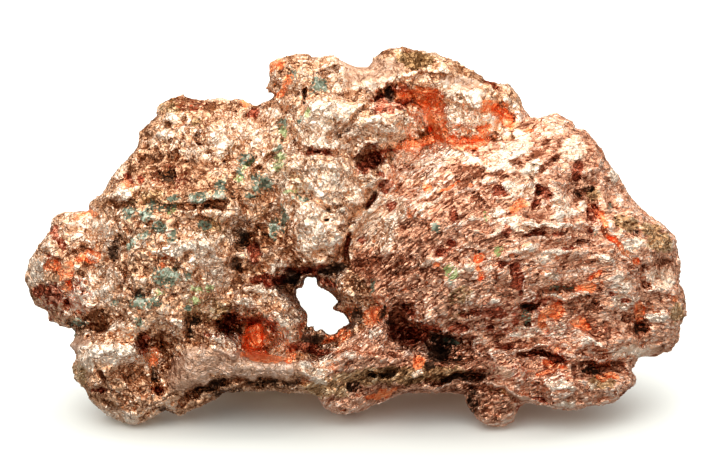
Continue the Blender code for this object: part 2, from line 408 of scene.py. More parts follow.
# Patches by tint and strength, each as x, z, half its width and half its height, and its tilt in degrees
# (right end up) where it has one.
PATCHES: dict[Tint, dict[float, tuple[tuple[float, ...], ...]]] = {
    # pale patches: worn bright metal and painted highlights, some wide and faint over whole lit areas
    Tint.PALE: {
        1: (
            (12.4, 39.8, 2, 1.5, -20), (12.9, 38.6, 2.2, 2.6, 15), (-28.4, 9.3, 4.6, 1.2, -4),
            (12.9, 38.2, 1.9, 2.4, 15), (-38.3, 19.6, 0.9, 1), (-32.3, 25, 1.9, 0.8),
            (-32.7, 23.2, 1.8, 0.6), (-33.3, 17.6, 1, 0.9), (-32.2, 16.5, 1.2, 0.7),
            (-30.1, 16.8, 0.8, 1.2), (-31.8, 20.9, 0.6, 0.3), (-28.5, 28.3, 1.2, 0.7),
            (-23, 35.8, 1.1, 0.6), (-22, 37.6, 0.9, 0.6), (-16.5, 34.4, 1.4, 1.6), (-12.5, 35.8, 1.6, 0.9),
            (-10, 38, 1, 0.8), (-21, 22.2, 1.6, 0.7, 8), (-22.6, 21.4, 1.5, 0.5),
            (-18, 22.4, 2.2, 1.3, 20), (-18, 20.4, 2, 0.8), (-3.2, 38.2, 2.9, 1.9, 10),
            (-4.5, 34.5, 2.1, 1), (1.9, 38.8, 0.4, 0.6), (4.1, 42.2, 0.6, 0.5, 30), (5.4, 36, 0.9, 0.8),
            (-3, 31, 1.5, 1.4), (-5.3, 29.5, 0.5, 0.6), (0, 28.3, 1, 1.2), (-1.3, 29.7, 0.8, 0.6),
            (-6.6, 26.2, 1, 1.9), (-5.5, 24, 1.6, 1.3), (-6.7, 22, 0.8, 0.6), (-5, 22.2, 0.8, 0.8),
            (2, 24.6, 1.3, 0.8, 15), (3.4, 27.4, 1.2, 0.9), (11.9, 36.6, 0.7, 1.7, 22),
            (13, 40.7, 2.8, 0.45), (16.5, 37.2, 1.3, 0.6, -15), (18.3, 39.8, 0.5, 0.4),
            (19.5, 38.2, 0.5, 1.3, 15), (9, 33, 3, 1.2, 18), (13.5, 32.6, 1.7, 0.6, -22),
            (12.3, 33.5, 1.6, 0.4), (17, 31.9, 1.8, 0.7, 10), (18.8, 33.6, 2.2, 1.1, 20),
            (21.2, 31.5, 1.5, 0.9, 25), (26, 33.8, 1.6, 1.4, 35), (20, 35.4, 1.3, 0.7),
            (18.9, 29.3, 1.3, 0.9, -35), (17, 26.3, 0.9, 0.5, 20), (18.4, 25.2, 1.5, 0.4),
            (14.2, 25.4, 0.9, 0.25), (25.6, 26.2, 2.3, 0.6, 15), (23.6, 24.7, 3, 0.35, -6),
            (24, 21.5, 2.3, 0.5, 12), (20.6, 21.9, 1.9, 0.35, 10), (23.7, 18.8, 1, 0.4),
            (27.2, 16.4, 1.3, 0.35), (24.1, 15.9, 0.8, 0.4, -15), (24.2, 12, 1.3, 0.8, 20),
            (20.6, 9.8, 2.5, 0.22, 12), (33.3, 22.3, 1.7, 0.8, 12), (31, 30.6, 0.6, 1, 15),
            (31.7, 27.9, 0.5, 0.7), (36.1, 13.7, 1.3, 0.7, 10), (28.6, 10.7, 1.5, 0.35, -18),
            (33.6, 15.7, 1, 0.3, 30), (24.4, 5.6, 2.1, 0.6, -10), (25.4, 3, 1.1, 0.4),
            (-29.4, 9.2, 3.8, 1.2, -6), (-32.2, 8.2, 0.9, 1.1, 20), (-24.3, 7.5, 0.6, 0.35),
            (-10.6, 16.9, 1.9, 0.6, -12), (-8.6, 15.5, 0.6, 1, 35), (-13, 15.2, 1.2, 0.6, -10),
            (-7.3, 13.7, 1, 0.9), (-9.1, 9.2, 0.5, 0.4), (-15.6, 10.9, 1.4, 0.45, -15),
            (-14.8, 9.9, 0.9, 0.35), (-5.2, 7.5, 1.8, 0.9, -18), (-3.1, 8.3, 0.8, 0.5),
            (-4.6, 6, 1.2, 0.4, -10), (2.1, 11.4, 0.6, 0.6), (-0.4, 9.2, 0.5, 0.4), (7.4, 6.9, 0.9, 0.5),
            (14.7, 10.6, 0.7, 0.5), (16.8, 15.6, 0.7, 0.5), (28.6, 5.4, 0.6, 0.4), (5.2, 32.6, 0.6, 0.7),
            (8.6, 28.6, 1.8, 0.35, 28), (9, 27.5, 1.8, 0.25, 28), (8, 26.4, 1.5, 0.22, 28),
            (27.4, 27, 0.5, 0.8),
        ),
        0.9: (
            (17.2, 35.8, 1.2, 0.8), (3.8, 35.6, 2.2, 1), (-14.6, 10.8, 1.2, 0.9), (-9.2, 11.2, 1.5, 1.6),
            (2.4, 24.2, 2.8, 2.8), (1, 36.2, 3.6, 1, 5), (11.4, 41, 2, 0.7, -20),
            (-15.6, 10.9, 1.8, 0.8, -25), (-10.2, 10.8, 0.9, 0.8),
        ),
        0.85: ((0.6, 23.4, 1.4, 1.8),),
        0.8: (
            (7, 36.8, 1.6, 1.2), (-14.8, 24, 0.9, 1.8), (2.6, 41.6, 2.4, 0.7),
            (-10.4, 32.8, 2.2, 1.2, -10), (-38.8, 19.2, 1.1, 1.6), (-3.7, 8.8, 1, 0.9),
            (32, 16.8, 1.2, 2.4), (20.6, 11.8, 2.6, 0.8, 5), (19.6, 24.5, 2.6, 0.6, 5),
            (22.2, 20.8, 1.8, 0.6), (33.2, 21.6, 1.4, 0.8, 10), (-28.6, 31.6, 1.2, 1.4),
            (36.8, 18.2, 1.5, 1.4),
        ),
        0.75: ((-9, 27, 1.7, 2.8),),
        0.7: (
            (-9.6, 30.4, 1.6, 1), (7.2, 33, 2.2, 1.2), (-1.2, 41.4, 1.8, 0.8), (23.6, 12, 1.6, 1),
            (4.6, 26.6, 1.8, 1.6), (0.2, 34, 1.2, 1), (-33.6, 15.2, 1.6, 1), (33, 9.4, 2.6, 0.8),
            (24.6, 27.4, 1, 1.6, 10), (-30.6, 24, 0.9, 1.2), (3.2, 29.2, 1.6, 1), (-4.4, 25, 3.2, 4.6),
            (3.4, 36.6, 1.6, 0.8), (30, 20.6, 1, 0.5), (-28.8, 12.3, 1.1, 1),
        ),
        0.6: (
            (-9.2, 19.2, 1.8, 1), (-14.2, 24.6, 1.6, 1.6), (7.6, 37.6, 1, 1.4), (-28.6, 1.7, 2.8, 1, -5),
            (-8.6, 12.6, 1.4, 2.2, -10), (20.6, 29.4, 1.6, 1.4, 30), (-16.8, 18.4, 1.8, 1.6),
            (-24.6, 7.4, 1.3, 1), (12.6, 19.2, 2, 0.7, 10), (-3, 35.8, 3.2, 0.8), (3.6, 36, 3.4, 2.2, 12),
            (-33.5, 15.5, 2.6, 1.6), (-14, 37, 1.8, 0.7), (-21.5, 13, 1.2, 0.5),
        ),
        0.55: ((-3.6, 36.5, 5, 4), (-3, 30, 4.4, 3)),
        0.5: (
            (7.2, 31.5, 2.2, 2.6), (-8.6, 20, 0.9, 1.4), (8.4, 20.2, 2, 0.6, 10), (-18.6, 33.2, 2.4, 1.2),
            (2, 25.4, 2.2, 1.8), (-2, 42.8, 1.7, 0.8, -10), (23.6, 36.2, 3, 0.9, 12),
        ),
        0.4: ((-30.5, 17.5, 2.2, 3), (-8, 34, 2.4, 3.4), (-16.5, 40, 2, 0.5)),
        0.35: ((-13.5, 36, 4.2, 3.4),),
    },
    # umber patches: brown patina and painted shade; in the copper they only darken the colour
    Tint.UMBER: {
        1: (
            (14.6, 43, 3.2, 0.8, -25), (29.2, 12.3, 2.2, 1.1, -25), (12.2, 5.2, 2.4, 0.7),
            (-31.2, 13.3, 1.5, 1.3), (-34.2, 17.7, 0.7, 0.6), (-36, 20.4, 0.4, 0.4), (-28, 27.3, 3.2, 0.6),
            (-21.8, 30.9, 2.2, 1.2), (-20.2, 31.8, 1.4, 0.9), (-18.6, 31.2, 0.7, 1.6),
            (-20.2, 39.4, 1.4, 0.7, -35), (-17.8, 38.8, 2, 0.5), (-25, 33, 1.9, 1.3, -25),
            (-27.2, 31.4, 2.2, 0.9, 30), (-25.3, 35.8, 1.5, 0.7, 35), (-22.7, 36.8, 0.5, 0.4),
            (-17.4, 27.1, 2, 0.5, 8), (-13, 23, 1.2, 1), (-11.5, 24, 1, 0.8), (-8.1, 21.8, 0.9, 2),
            (-19.2, 13.2, 1.7, 1), (-16.8, 12.4, 1.6, 0.8, -20), (-28.3, 6.5, 3.5, 1.1),
            (-30.2, 3.4, 2.2, 0.7, -30), (-14.5, 5.4, 6.2, 0.8, 3), (-19, 4, 2, 1.2, 35),
            (6.8, 44.4, 1.8, 0.9), (7, 45.4, 1.8, 0.35), (9, 44.3, 1.2, 0.4, -35), (12.7, 43.3, 1, 0.45),
            (8.2, 36, 0.8, 1), (13.4, 31.2, 2.2, 0.8, -5), (12.8, 30, 0.8, 0.9), (15, 27.5, 1.4, 0.6, -20),
            (17.6, 30.7, 2.6, 0.35, -5), (21, 30.3, 1.5, 0.5), (4.8, 19.8, 2.8, 1.6),
            (0.6, 18.2, 1.8, 2.4), (9.2, 19.2, 2.4, 0.9), (24.5, 17.1, 2.2, 0.6, 10), (27.2, 15, 2.9, 1.1),
            (20.6, 13.7, 0.8, 1.2), (22, 33.5, 2.6, 0.35, 38), (23.5, 32.2, 2, 0.4, 45),
            (27.5, 30.1, 1.6, 0.7), (28, 7.6, 1.8, 0.8), (30.8, 7.6, 1.8, 0.5), (34.2, 12, 1.2, 0.9),
            (9.5, 5.7, 3.4, 0.5, 6), (33, 4.4, 1.2, 0.8), (16.6, 2.8, 2.2, 1.6), (-3.2, 21.2, 1.8, 0.8),
            (5.2, 13.6, 1.4, 1.6, -20), (36.8, 20.2, 1.4, 0.4),
        ),
        0.95: ((-22, 31, 3.4, 2),),
        0.9: (
            (-20.6, 39.6, 2.8, 1.2, -5), (4.8, 46, 3, 0.7, 5), (12, 8.1, 3.4, 0.6, 5),
            (27.6, 6.7, 2.2, 0.7, -5), (-15.6, 4.5, 3.4, 0.7, 5), (-18.5, 3.6, 2.6, 1, 30),
            (-12, 4.7, 5, 0.6), (14.6, 4.2, 1.6, 2.2),
        ),
        0.85: ((-20.4, 29.2, 4, 1.5, 5),),
        0.8: (
            (-23.6, 27.6, 1.6, 2), (-24.8, 31.6, 1.8, 1.2, 30), (-11.2, 22.6, 1.2, 0.9),
            (2.8, 4.2, 3.2, 0.7, 10), (-26, 19.3, 1.6, 0.8), (17.6, 22.8, 1.2, 0.8), (1.2, 38.1, 1.1, 0.6),
            (-24.6, 27.2, 2.6, 0.9), (-14.6, 28.4, 1.4, 1.2), (13.5, 44.2, 5, 1, -24), (21, 24, 2.4, 0.7),
            (15.4, 22.8, 1.8, 0.4, 10),
        ),
        0.7: (
            (-8.2, 43.6, 1.2, 1.6), (27.8, 27.6, 1.5, 2.2), (-27, 19.6, 2, 1), (-19.6, 11.6, 1.4, 1.6, 20),
            (-33, 20.6, 2.6, 0.7), (-2.8, 25.8, 1.2, 0.8), (26.4, 33.2, 2.8, 1.2, -20),
            (18.8, 16.6, 1.4, 1), (8.5, 6.6, 9, 2.2, 4), (25.8, 22.4, 2.8, 0.6), (12, 20.8, 2.2, 0.5, 20),
            (-2.6, 27.2, 2, 0.8), (-12.5, 19.4, 2, 0.5), (-23, 10.8, 1.6, 0.9), (35.8, 15.9, 1.8, 0.6),
            (13.8, 27, 1.6, 0.6),
        ),
        0.6: (
            (-15.6, 38.6, 4, 1.4), (27.6, 34.6, 3.2, 1.4, -35), (37.2, 18.6, 1.4, 1.2),
            (14.6, 2.4, 1.2, 1.4), (10.4, 28.8, 1.4, 1.6), (21.4, 26.2, 1.8, 1), (13.6, 3.4, 2.4, 2.4),
            (38.4, 8.6, 1.4, 1.6), (-39.4, 15.6, 1.2, 1.8), (-21.5, 6, 1.6, 2.4, 30),
            (7.5, 23.2, 3.4, 2.3), (28.4, 20.2, 2, 0.5), (3.6, 9, 2.6, 0.5, 6),
        ),
        0.5: (
            (12.4, 26.8, 1.8, 1.6), (9.8, 26.2, 0.8, 1), (-28.6, 5, 4.4, 2.6, -8), (-10.4, 43.4, 0.6, 0.9),
        ),
        0.45: ((5.6, 18, 5, 2.6, -20),),
        0.4: ((-25.6, 24.2, 2.4, 1),),
        0.3: ((2, 43.2, 3.4, 1.4, 8),),
    },
    Tint.GILD: {
        1: (
            (5, 6.6, 8.5, 1.1, 3), (36.6, 22.6, 1.6, 1.2, -30), (35.4, 24.4, 1.2, 0.7),
            (32.5, 25, 1.6, 1, -20), (28.7, 28.4, 0.9, 0.7), (38.6, 14, 0.9, 1.1), (7, 44.6, 2.6, 1),
            (29.6, 5.8, 1.6, 0.9),
        ),
        0.8: ((-19.3, 37.2, 0.6, 0.5), (-3.5, 5, 3, 1.2)),
        0.6: (
            (-9.5, 31.3, 1.7, 1, 30), (12.5, 16.2, 2, 1, 25), (-22.5, 39, 1.8, 1), (-33.5, 6.4, 1.2, 2),
            (12.4, 13.9, 1.6, 0.5, 15),
        ),
        0.55: ((-18, 14.5, 4, 1.6),),
        0.5: ((-7.6, 30, 2.3, 1.3, 20), (-25, 28, 3, 1.2), (17.4, 4.5, 2, 0.5, -20)),
        0.45: ((-16.5, 24, 3.4, 1.8),),
    },
    Tint.BLUSH: {
        1: (
            (1.6, 43, 3.4, 1.4, 8), (4.4, 43.7, 1.6, 1.2), (-13, 8, 6.8, 1.6, -5),
            (-19.8, 7.4, 3.4, 2.2, 40), (17.3, 6.9, 1.6, 1, -15), (18.2, 4.9, 3.2, 0.35, -26),
            (34.2, 9.8, 2.6, 0.6), (-33.2, 10.4, 1.2, 0.7, 30), (12.6, 41.8, 2.3, 0.7, -4),
            (14.4, 40.5, 1.3, 0.35), (-1.5, 44.3, 1.4, 0.4, -20), (8.4, 38, 0.7, 0.8),
        ),
    },
    # ember patches: painted orange glow of light reflected inside the hollows
    Tint.EMBER: {
        1: (
            (-36.5, 19.8, 0.9, 0.7), (-34.9, 19.2, 1.4, 0.9, 60), (-32.2, 21, 1.7, 0.6, 12),
            (-32.5, 25.9, 1.5, 0.5, 8), (-34.8, 17.2, 0.6, 0.8), (-33.6, 15.2, 0.7, 1.1),
            (-12.3, 10.8, 1.3, 2), (-12, 9, 1.9, 0.75), (-10.2, 8.6, 1.7, 0.55), (-8.1, 9, 0.7, 0.9),
            (-2.8, 10.9, 1.6, 0.5), (-1.3, 11.7, 0.8, 0.6), (1.9, 13.7, 0.9, 1.4, -20),
            (7.6, 8.2, 0.8, 0.9), (7.6, 40.3, 3.2, 0.9, 2), (9.8, 37.3, 1.5, 3.2, 20),
            (11.1, 36.4, 0.7, 2, 25), (7.2, 34.5, 2.4, 0.7, 12), (6.7, 36.2, 0.8, 0.9),
            (13.3, 34.5, 2.8, 0.6, 6), (15.7, 35.9, 1.1, 0.7, -35), (16.6, 38.6, 1.3, 0.8, -30),
            (18.2, 37.4, 0.7, 1.4, 30), (18.7, 36.9, 0.5, 0.6), (15.6, 39, 0.6, 0.8),
            (21.2, 36.2, 0.8, 0.25), (14.8, 20.6, 0.6, 0.8), (14.9, 19, 0.3, 1.3), (24, 14.3, 1.6, 0.9),
            (22.5, 13.4, 0.5, 1), (27.8, 17.1, 1.5, 0.45, 5), (28.6, 18.6, 1, 0.35, 40),
            (29.1, 26.3, 1.3, 0.5, -38), (30.2, 24.9, 0.3, 0.6), (31.6, 22.2, 2.1, 0.35, -45),
            (33.5, 20.2, 0.4, 0.6), (34.2, 14, 0.6, 1.6), (24.2, 9.9, 0.6, 0.25),
            (22.8, 6.9, 1.4, 0.3, 10), (24, 7.8, 1.9, 0.4, -10), (30.4, 6.5, 1.6, 0.5, 5),
            (38.7, 15.7, 0.4, 0.5), (8.6, 29.3, 0.6, 0.4), (6.5, 26.3, 0.25, 0.6),
            (-9, 40.6, 0.5, 0.9, -40), (-24.3, 8.8, 0.5, 1.2), (3, 4.3, 2.5, 0.45, 14),
            (13.9, 29.6, 0.3, 0.3), (11.2, 29.4, 1.8, 0.2, 25), (9.7, 19.9, 0.5, 0.4),
            (19.4, 26.9, 0.7, 1.2, -45), (23.4, 21, 1.5, 0.2, -10), (-23.2, 19.9, 0.4, 0.4),
        ),
        0.8: (
            (-6.6, 12.3, 0.4, 1.5), (27, 12.8, 1.5, 0.7, -25), (-9.8, 44, 1.2, 0.7, 10),
            (-8.2, 42.2, 0.5, 1, -45), (-13.6, 39.6, 0.5, 0.9),
        ),
        0.5: ((-27.6, 29.6, 1.4, 0.8),),
    },
    # blood patches: painted dark red glow and shade in hollows, under overhangs and along shadow strips
    Tint.BLOOD: {
        1: (
            (-10.1, 12.7, 0.5, 1), (-36.1, 23.8, 0.5, 1), (-38.1, 16.9, 1, 0.9), (-36.3, 16.4, 0.9, 1.2),
            (-35, 15.5, 0.9, 0.6, -40), (-37, 20.8, 0.4, 0.3), (-35.6, 22.5, 0.4, 0.9),
            (-27.4, 30.2, 0.4, 0.8, 25), (-26, 30.2, 0.3, 1, -15), (-12.4, 38.2, 1, 0.5, 20),
            (-12.3, 21.4, 0.8, 1.3), (-10.5, 18.1, 2.3, 0.7, -4), (-6, 19.3, 2.8, 0.5, 5),
            (-4, 18, 2.2, 0.5, -28), (-15.1, 13.2, 1.4, 1, 10), (-11.8, 13.1, 2, 0.5, -4),
            (-6.3, 10.1, 2.2, 0.5), (-4.2, 9.4, 1.5, 0.4), (6.2, 14.4, 0.5, 1.3, 30), (7, 11.3, 1.7, 1),
            (9, 12.3, 1.4, 0.4, -22), (1.8, 32.3, 2.1, 0.8, 26), (5.2, 41.2, 1, 0.5),
            (5.8, 39.3, 1.2, 0.6), (3.2, 39.9, 1.5, 0.5, 15), (17.3, 28.8, 1, 0.7), (18.2, 24, 0.6, 0.7),
            (11.8, 26.1, 0.4, 1), (11.4, 22.5, 0.6, 0.5), (10.5, 21.4, 0.9, 0.6, 25), (22.5, 28.6, 1, 0.8),
            (21.6, 27.4, 0.6, 0.6), (21.5, 23.7, 1.6, 0.35), (24.2, 23.6, 0.9, 0.3), (28.2, 24, 0.4, 0.6),
            (25.5, 21.8, 0.9, 0.25), (19.4, 18.3, 0.7, 2.1, 10), (17.9, 19.8, 0.9, 0.4),
            (31.1, 16.5, 0.7, 0.3), (16.5, 14.1, 1.5, 0.8, -8), (13.8, 14, 1.7, 0.3, 10),
            (12.5, 12.4, 1.4, 0.6), (16.2, 12.3, 0.6, 0.5), (21.8, 15.3, 1.8, 0.3, 8),
            (23.3, 8.9, 2.3, 0.45, -18), (20.9, 9, 1.3, 0.4), (18, 10.1, 1.2, 0.3),
            (26.7, 31.3, 0.6, 1.3, -12), (-25.4, 10.4, 0.7, 1.3), (-24, 5, 0.9, 0.35),
            (16.5, 41.6, 1.5, 0.22, -25), (-1.1, 22.2, 0.3, 1.6), (1.8, 27.6, 0.9, 0.4, 50),
            (3.8, 29.4, 0.6, 0.8, -30), (3, 30.8, 0.6, 0.5), (-4.5, 33.4, 2, 0.25, -4),
            (20, 2.6, 0.9, 0.4), (22.3, 3.6, 1.2, 0.3, -25), (3.4, 33.4, 1.8, 0.3, 8),
            (4.2, 26.9, 0.5, 0.5), (-31, 4.9, 1.4, 0.25, 5), (32.6, 15.6, 0.6, 0.3),
        ),
        0.9: ((4, 39.2, 0.9, 0.5), (3.4, 39.4, 1.4, 0.6), (3.4, 38.8, 1.7, 0.9)),
        0.8: (
            (28.6, 26.2, 0.9, 1.1, -20), (5.2, 11.6, 1.6, 0.8), (21.4, 14.6, 1.2, 0.6),
            (19.2, 13.2, 0.6, 0.9),
        ),
        0.7: ((0.6, 22.8, 0.7, 0.5), (-17.2, 11.4, 1, 0.4)),
        0.42: ((-22.4, 30.6, 2.6, 1.6),),
        0.4: ((-20, 39.3, 2.2, 1, -10),),
        0.36: ((-35, 15, 4, 4),),
        0.3: ((20, 13, 8, 4),),
        0.28: ((22, 9.5, 12, 5),),
    },
    # soot patches: mostly painted shade in deep pits, crevices and undercuts, some brown-black oxide
    Tint.SOOT: {
        1: (
            (-7.8, 18.4, 0.9, 1), (-2.7, 19.4, 1.7, 0.5, 8), (-5, 11.1, 1.6, 0.6, 8),
            (10.5, 10.9, 1.6, 0.7, -15), (10, 9.2, 1.4, 1.1), (8.9, 7.8, 0.6, 0.5),
            (4.2, 40.3, 0.8, 1, 10),
        ),
        0.72: (
            (-29.1, 21.7, 0.7, 1.7, -12), (-34.4, 13.2, 0.7, 0.5, -40), (-34, 11.9, 0.3, 0.6),
            (-25.9, 16.4, 1.2, 0.5, 20), (-22.6, 30.5, 0.9, 0.7), (-19.2, 35.3, 0.3, 0.3),
            (-14.7, 28.4, 0.5, 0.6), (-13.5, 22.9, 0.7, 1.2), (-14.5, 19.9, 0.8, 0.7),
            (-19.5, 13.1, 0.8, 0.6), (-20.1, 12, 0.3, 0.8), (0.3, 13.9, 0.7, 1), (3, 14.1, 0.4, 1.3, -20),
            (4.2, 12.9, 0.9, 0.4, -30), (13, 8.4, 1.5, 0.35, -5), (1.9, 6.7, 0.6, 0.5),
            (3.6, 6.7, 1.3, 0.25, 5), (-0.2, 5.2, 0.7, 0.7), (26.7, 28.4, 0.6, 0.35, -25),
            (28.1, 29, 0.5, 0.3), (31.3, 25.3, 0.6, 0.25), (33.6, 24, 0.3, 0.6), (13.9, 3.6, 0.6, 1.7, -8),
            (-24.4, 6.6, 0.3, 0.5), (-6.5, 39.9, 0.25, 1), (-1.3, 35.8, 1.4, 0.3, 35),
            (22, 28.5, 0.3, 0.6, -35), (-3.1, 26.5, 0.5, 0.2), (-3.5, 25.3, 0.35, 0.2),
            (-22.8, 2.2, 1, 0.4, -25),
        ),
        0.68: (
            (13, 6.5, 3.2, 0.4, 10), (-17.6, 5.2, 2.4, 0.5, 20), (34, 12.1, 0.7, 0.6),
            (-17.3, 26.9, 1.2, 0.22, 8), (28.4, 7.2, 1, 0.35), (14, 21.7, 1, 0.2, 10),
        ),
        0.66: ((-10, 5.7, 3.6, 0.45, -2), (20.7, 14.8, 1, 0.4), (19, 21, 0.8, 0.2), (-15.6, 4.4, 1.8, 0.5)),
        0.57: ((-27.4, 26, 0.6, 0.5),),
    },
    Tint.VERDIGRIS: {
        1: (
            (-4.3, 41.7, 0.9, 0.8), (-5.3, 41, 0.5, 0.4), (-8.9, 36.9, 0.5, 0.7),
            (-13.3, 32.6, 0.7, 0.9, 30), (-13.9, 31.2, 0.5, 0.8), (-11.5, 29.6, 1.1, 1.1, 20),
            (-12.8, 28.3, 0.6, 0.4), (-16.3, 29.3, 0.9, 0.8), (-18.9, 28, 1.2, 0.7),
            (-16.6, 28.2, 0.6, 0.4), (-18.3, 24.8, 0.8, 0.6), (-23, 18.4, 1.6, 1.2),
            (-25.4, 15.4, 1.7, 0.8), (-23.6, 24.4, 0.9, 0.6), (-25.6, 23.5, 0.8, 0.6),
            (-22.1, 23.4, 0.6, 0.8, -20), (-25.4, 26, 1, 0.7), (-27.3, 26.2, 0.8, 0.9),
            (-24.6, 27, 0.6, 0.6), (-22.7, 26.8, 1, 0.4), (-27, 22.5, 0.4, 0.7), (-21.9, 28, 0.8, 0.4),
            (-9.9, 24.2, 0.5, 1.3), (-8.8, 25.4, 0.4, 1.5), (-6.7, 27.9, 1, 0.35), (-20.2, 18.6, 0.5, 0.5),
            (-20.2, 14.6, 0.5, 0.5), (-29.1, 15.6, 0.5, 0.4), (-33.2, 13, 0.8, 0.4),
            (-33.9, 11.7, 0.3, 0.6), (-14.6, 40.3, 0.5, 0.5), (-6.8, 37.3, 0.2, 0.5),
            (1.9, 17.3, 0.25, 0.9, 10), (28.9, 23.7, 0.2, 0.6, -20), (11.6, 10.6, 0.7, 0.3, -20),
            (10.7, 10.9, 0.4, 0.2), (11.3, 18.2, 0.4, 0.5), (30.4, 27, 0.4, 0.3),
        ),
        0.8: ((9.5, 24.3, 0.5, 0.7, -25), (-9.5, 34, 0.7, 0.4, 30)),
        0.7: ((-26.2, 13, 0.7, 0.6),),
        0.6: ((24.6, 17.2, 1.6, 0.3, 5),),
        0.5: ((20.6, 13.6, 0.5, 0.8), (-7.6, 43, 0.3, 0.9)),
    },
    Tint.LIME: {
        1: (
            (-8.8, 35.8, 0.4, 0.9), (-19.2, 17, 0.8, 0.4, -25), (-17.8, 17, 0.4, 0.4),
            (-19.3, 15.5, 0.5, 0.4), (11.6, 19.1, 0.7, 0.7, 35), (17, 21.4, 0.4, 0.7, -35),
            (15.6, 25.8, 0.25, 0.5), (-22.3, 26.4, 0.4, 0.25), (-14.1, 30.6, 0.5, 0.7, -20),
            (-13.2, 31.9, 0.3, 0.6, -30), (-6, 38.2, 0.4, 0.5), (-9, 32.8, 0.8, 0.4, -10),
        ),
        0.7: ((-7.8, 28.8, 0.6, 0.3, 15), (-23.5, 16.4, 0.7, 0.3)),
        0.6: ((-9.3, 31.9, 0.6, 0.7),),
    },
}


@dataclass(frozen=True)
class Stroke:
    """A rib or a crack along a path of (x, z) points.

    Attributes:
        path: The points.
        width: Half its width.
        proud: How far its middle stands out of the face, negative for a crack.
    """

    path: tuple[tuple[float, float], ...]
    width: float
    proud: float


# Cracks, torn or worn along the lines seen on the face.
CRACKS = (
    Stroke(((3.4, 29.6), (1.6, 27.6), (0.4, 26.2), (-0.9, 25.1)), 0.36, -1),
    Stroke(((-1.6, 24.4), (-1.1, 23.6), (-1.3, 21.6), (-1, 19.8)), 0.4, -1.1),
    Stroke(((-0.4, 31.6), (-0.2, 30.4), (0.7, 29.6)), 0.22, -0.62),
    Stroke(((-7.4, 34.6), (-5.2, 33.5), (-2.2, 33.6)), 0.3, -0.99),
    Stroke(((-6.5, 41.2), (-6.6, 39.2), (-6.9, 36.9)), 0.28, -0.93),
    Stroke(((-4.2, 43.6), (-3.5, 42.4)), 0.2, -0.5),
    Stroke(((-9.2, 33.6), (-10.6, 32.6), (-12, 31.1)), 0.22, -0.87),
    Stroke(((-15, 31), (-13.6, 31.6), (-12.6, 32.6)), 0.22, -0.5),
    Stroke(((-5.2, 28.2), (-4.2, 27), (-3.1, 26.5), (-2, 27)), 0.25, -0.74),
    Stroke(((-3, 35.3), (-1.4, 36.2), (0, 38.2), (1.4, 39), (3, 40.4)), 0.35, -0.99),
    Stroke(((-10, 29.6), (-10.2, 27.6), (-11, 25.6)), 0.3, -0.74),
    Stroke(((-13.8, 27.6), (-13.4, 26), (-14, 24.2)), 0.3, -0.87),
    Stroke(((-27.6, 20), (-27.9, 18.4), (-28.8, 16.6)), 0.25, -0.87),
    Stroke(
        ((-31.6, 27.4), (-28.4, 27.2), (-25.6, 27.7), (-22.4, 26.9), (-18.6, 27), (-15.6, 27.6)),
        0.35,
        -0.56,
    ),
    Stroke(((-34.4, 12), (-33, 12.6), (-30.4, 12.4), (-28, 13.6)), 0.4, -0.87),
    Stroke(((-21.6, 32.2), (-20.4, 32.6), (-19.6, 33)), 0.18, -0.56),
    Stroke(((-25.6, 29), (-27, 27.9)), 0.25, -0.5),
    Stroke(((-26, 11), (-25.2, 9.6), (-24.4, 7.8), (-24.3, 6.2), (-23.8, 4.8)), 0.45, -0.99),
    Stroke(((17.4, 31.2), (20, 32.8), (22.8, 34.7)), 0.3, -0.5),
    Stroke(((22.4, 30.8), (23.6, 32.2), (24.6, 33.2)), 0.3, -0.43),
    Stroke(((-31.6, 4.8), (-29.6, 4.9), (-28.4, 4), (-27.2, 3.6)), 0.25, -0.5),
    Stroke(((9, 5.9), (12, 6.6), (15.4, 6.4)), 0.5, -1.24),
    Stroke(((-21, 3.4), (-18.2, 5.2), (-14.6, 6.2), (-10, 6), (-6.2, 5.7)), 0.5, -0.99),
    Stroke(((1.4, 6.8), (3.2, 6.6), (4.8, 7.2)), 0.35, -0.87),
    Stroke(((15, 42.2), (16.2, 41.7), (17.8, 41.2)), 0.2, -0.56),
    Stroke(((19.6, 9.2), (22.2, 9.5), (24.6, 8.4)), 0.35, -0.62),
    Stroke(((27.4, 4.9), (26.6, 6.2), (26, 7.8)), 0.25, -0.56),
    Stroke(((28.6, 3.4), (31, 3.7), (32.6, 4.7)), 0.22, -0.5),
    Stroke(((13.4, 5.4), (17.2, 4.6), (20.8, 3)), 0.3, -0.62),
    Stroke(((29.9, 24.4), (31.2, 22.4), (33.2, 20.8), (34.4, 19.4), (34.9, 17.6)), 0.28, -0.56),
    Stroke(((24.2, 17), (26.6, 17.2), (28, 16)), 0.3, -0.5),
    Stroke(((-34.8, 21.2), (-32.2, 21.7), (-30.4, 21.4)), 0.2, -0.37),
    Stroke(((-0.6, 9.9), (2.2, 9.4), (5, 9.3)), 0.2, -0.37),
)
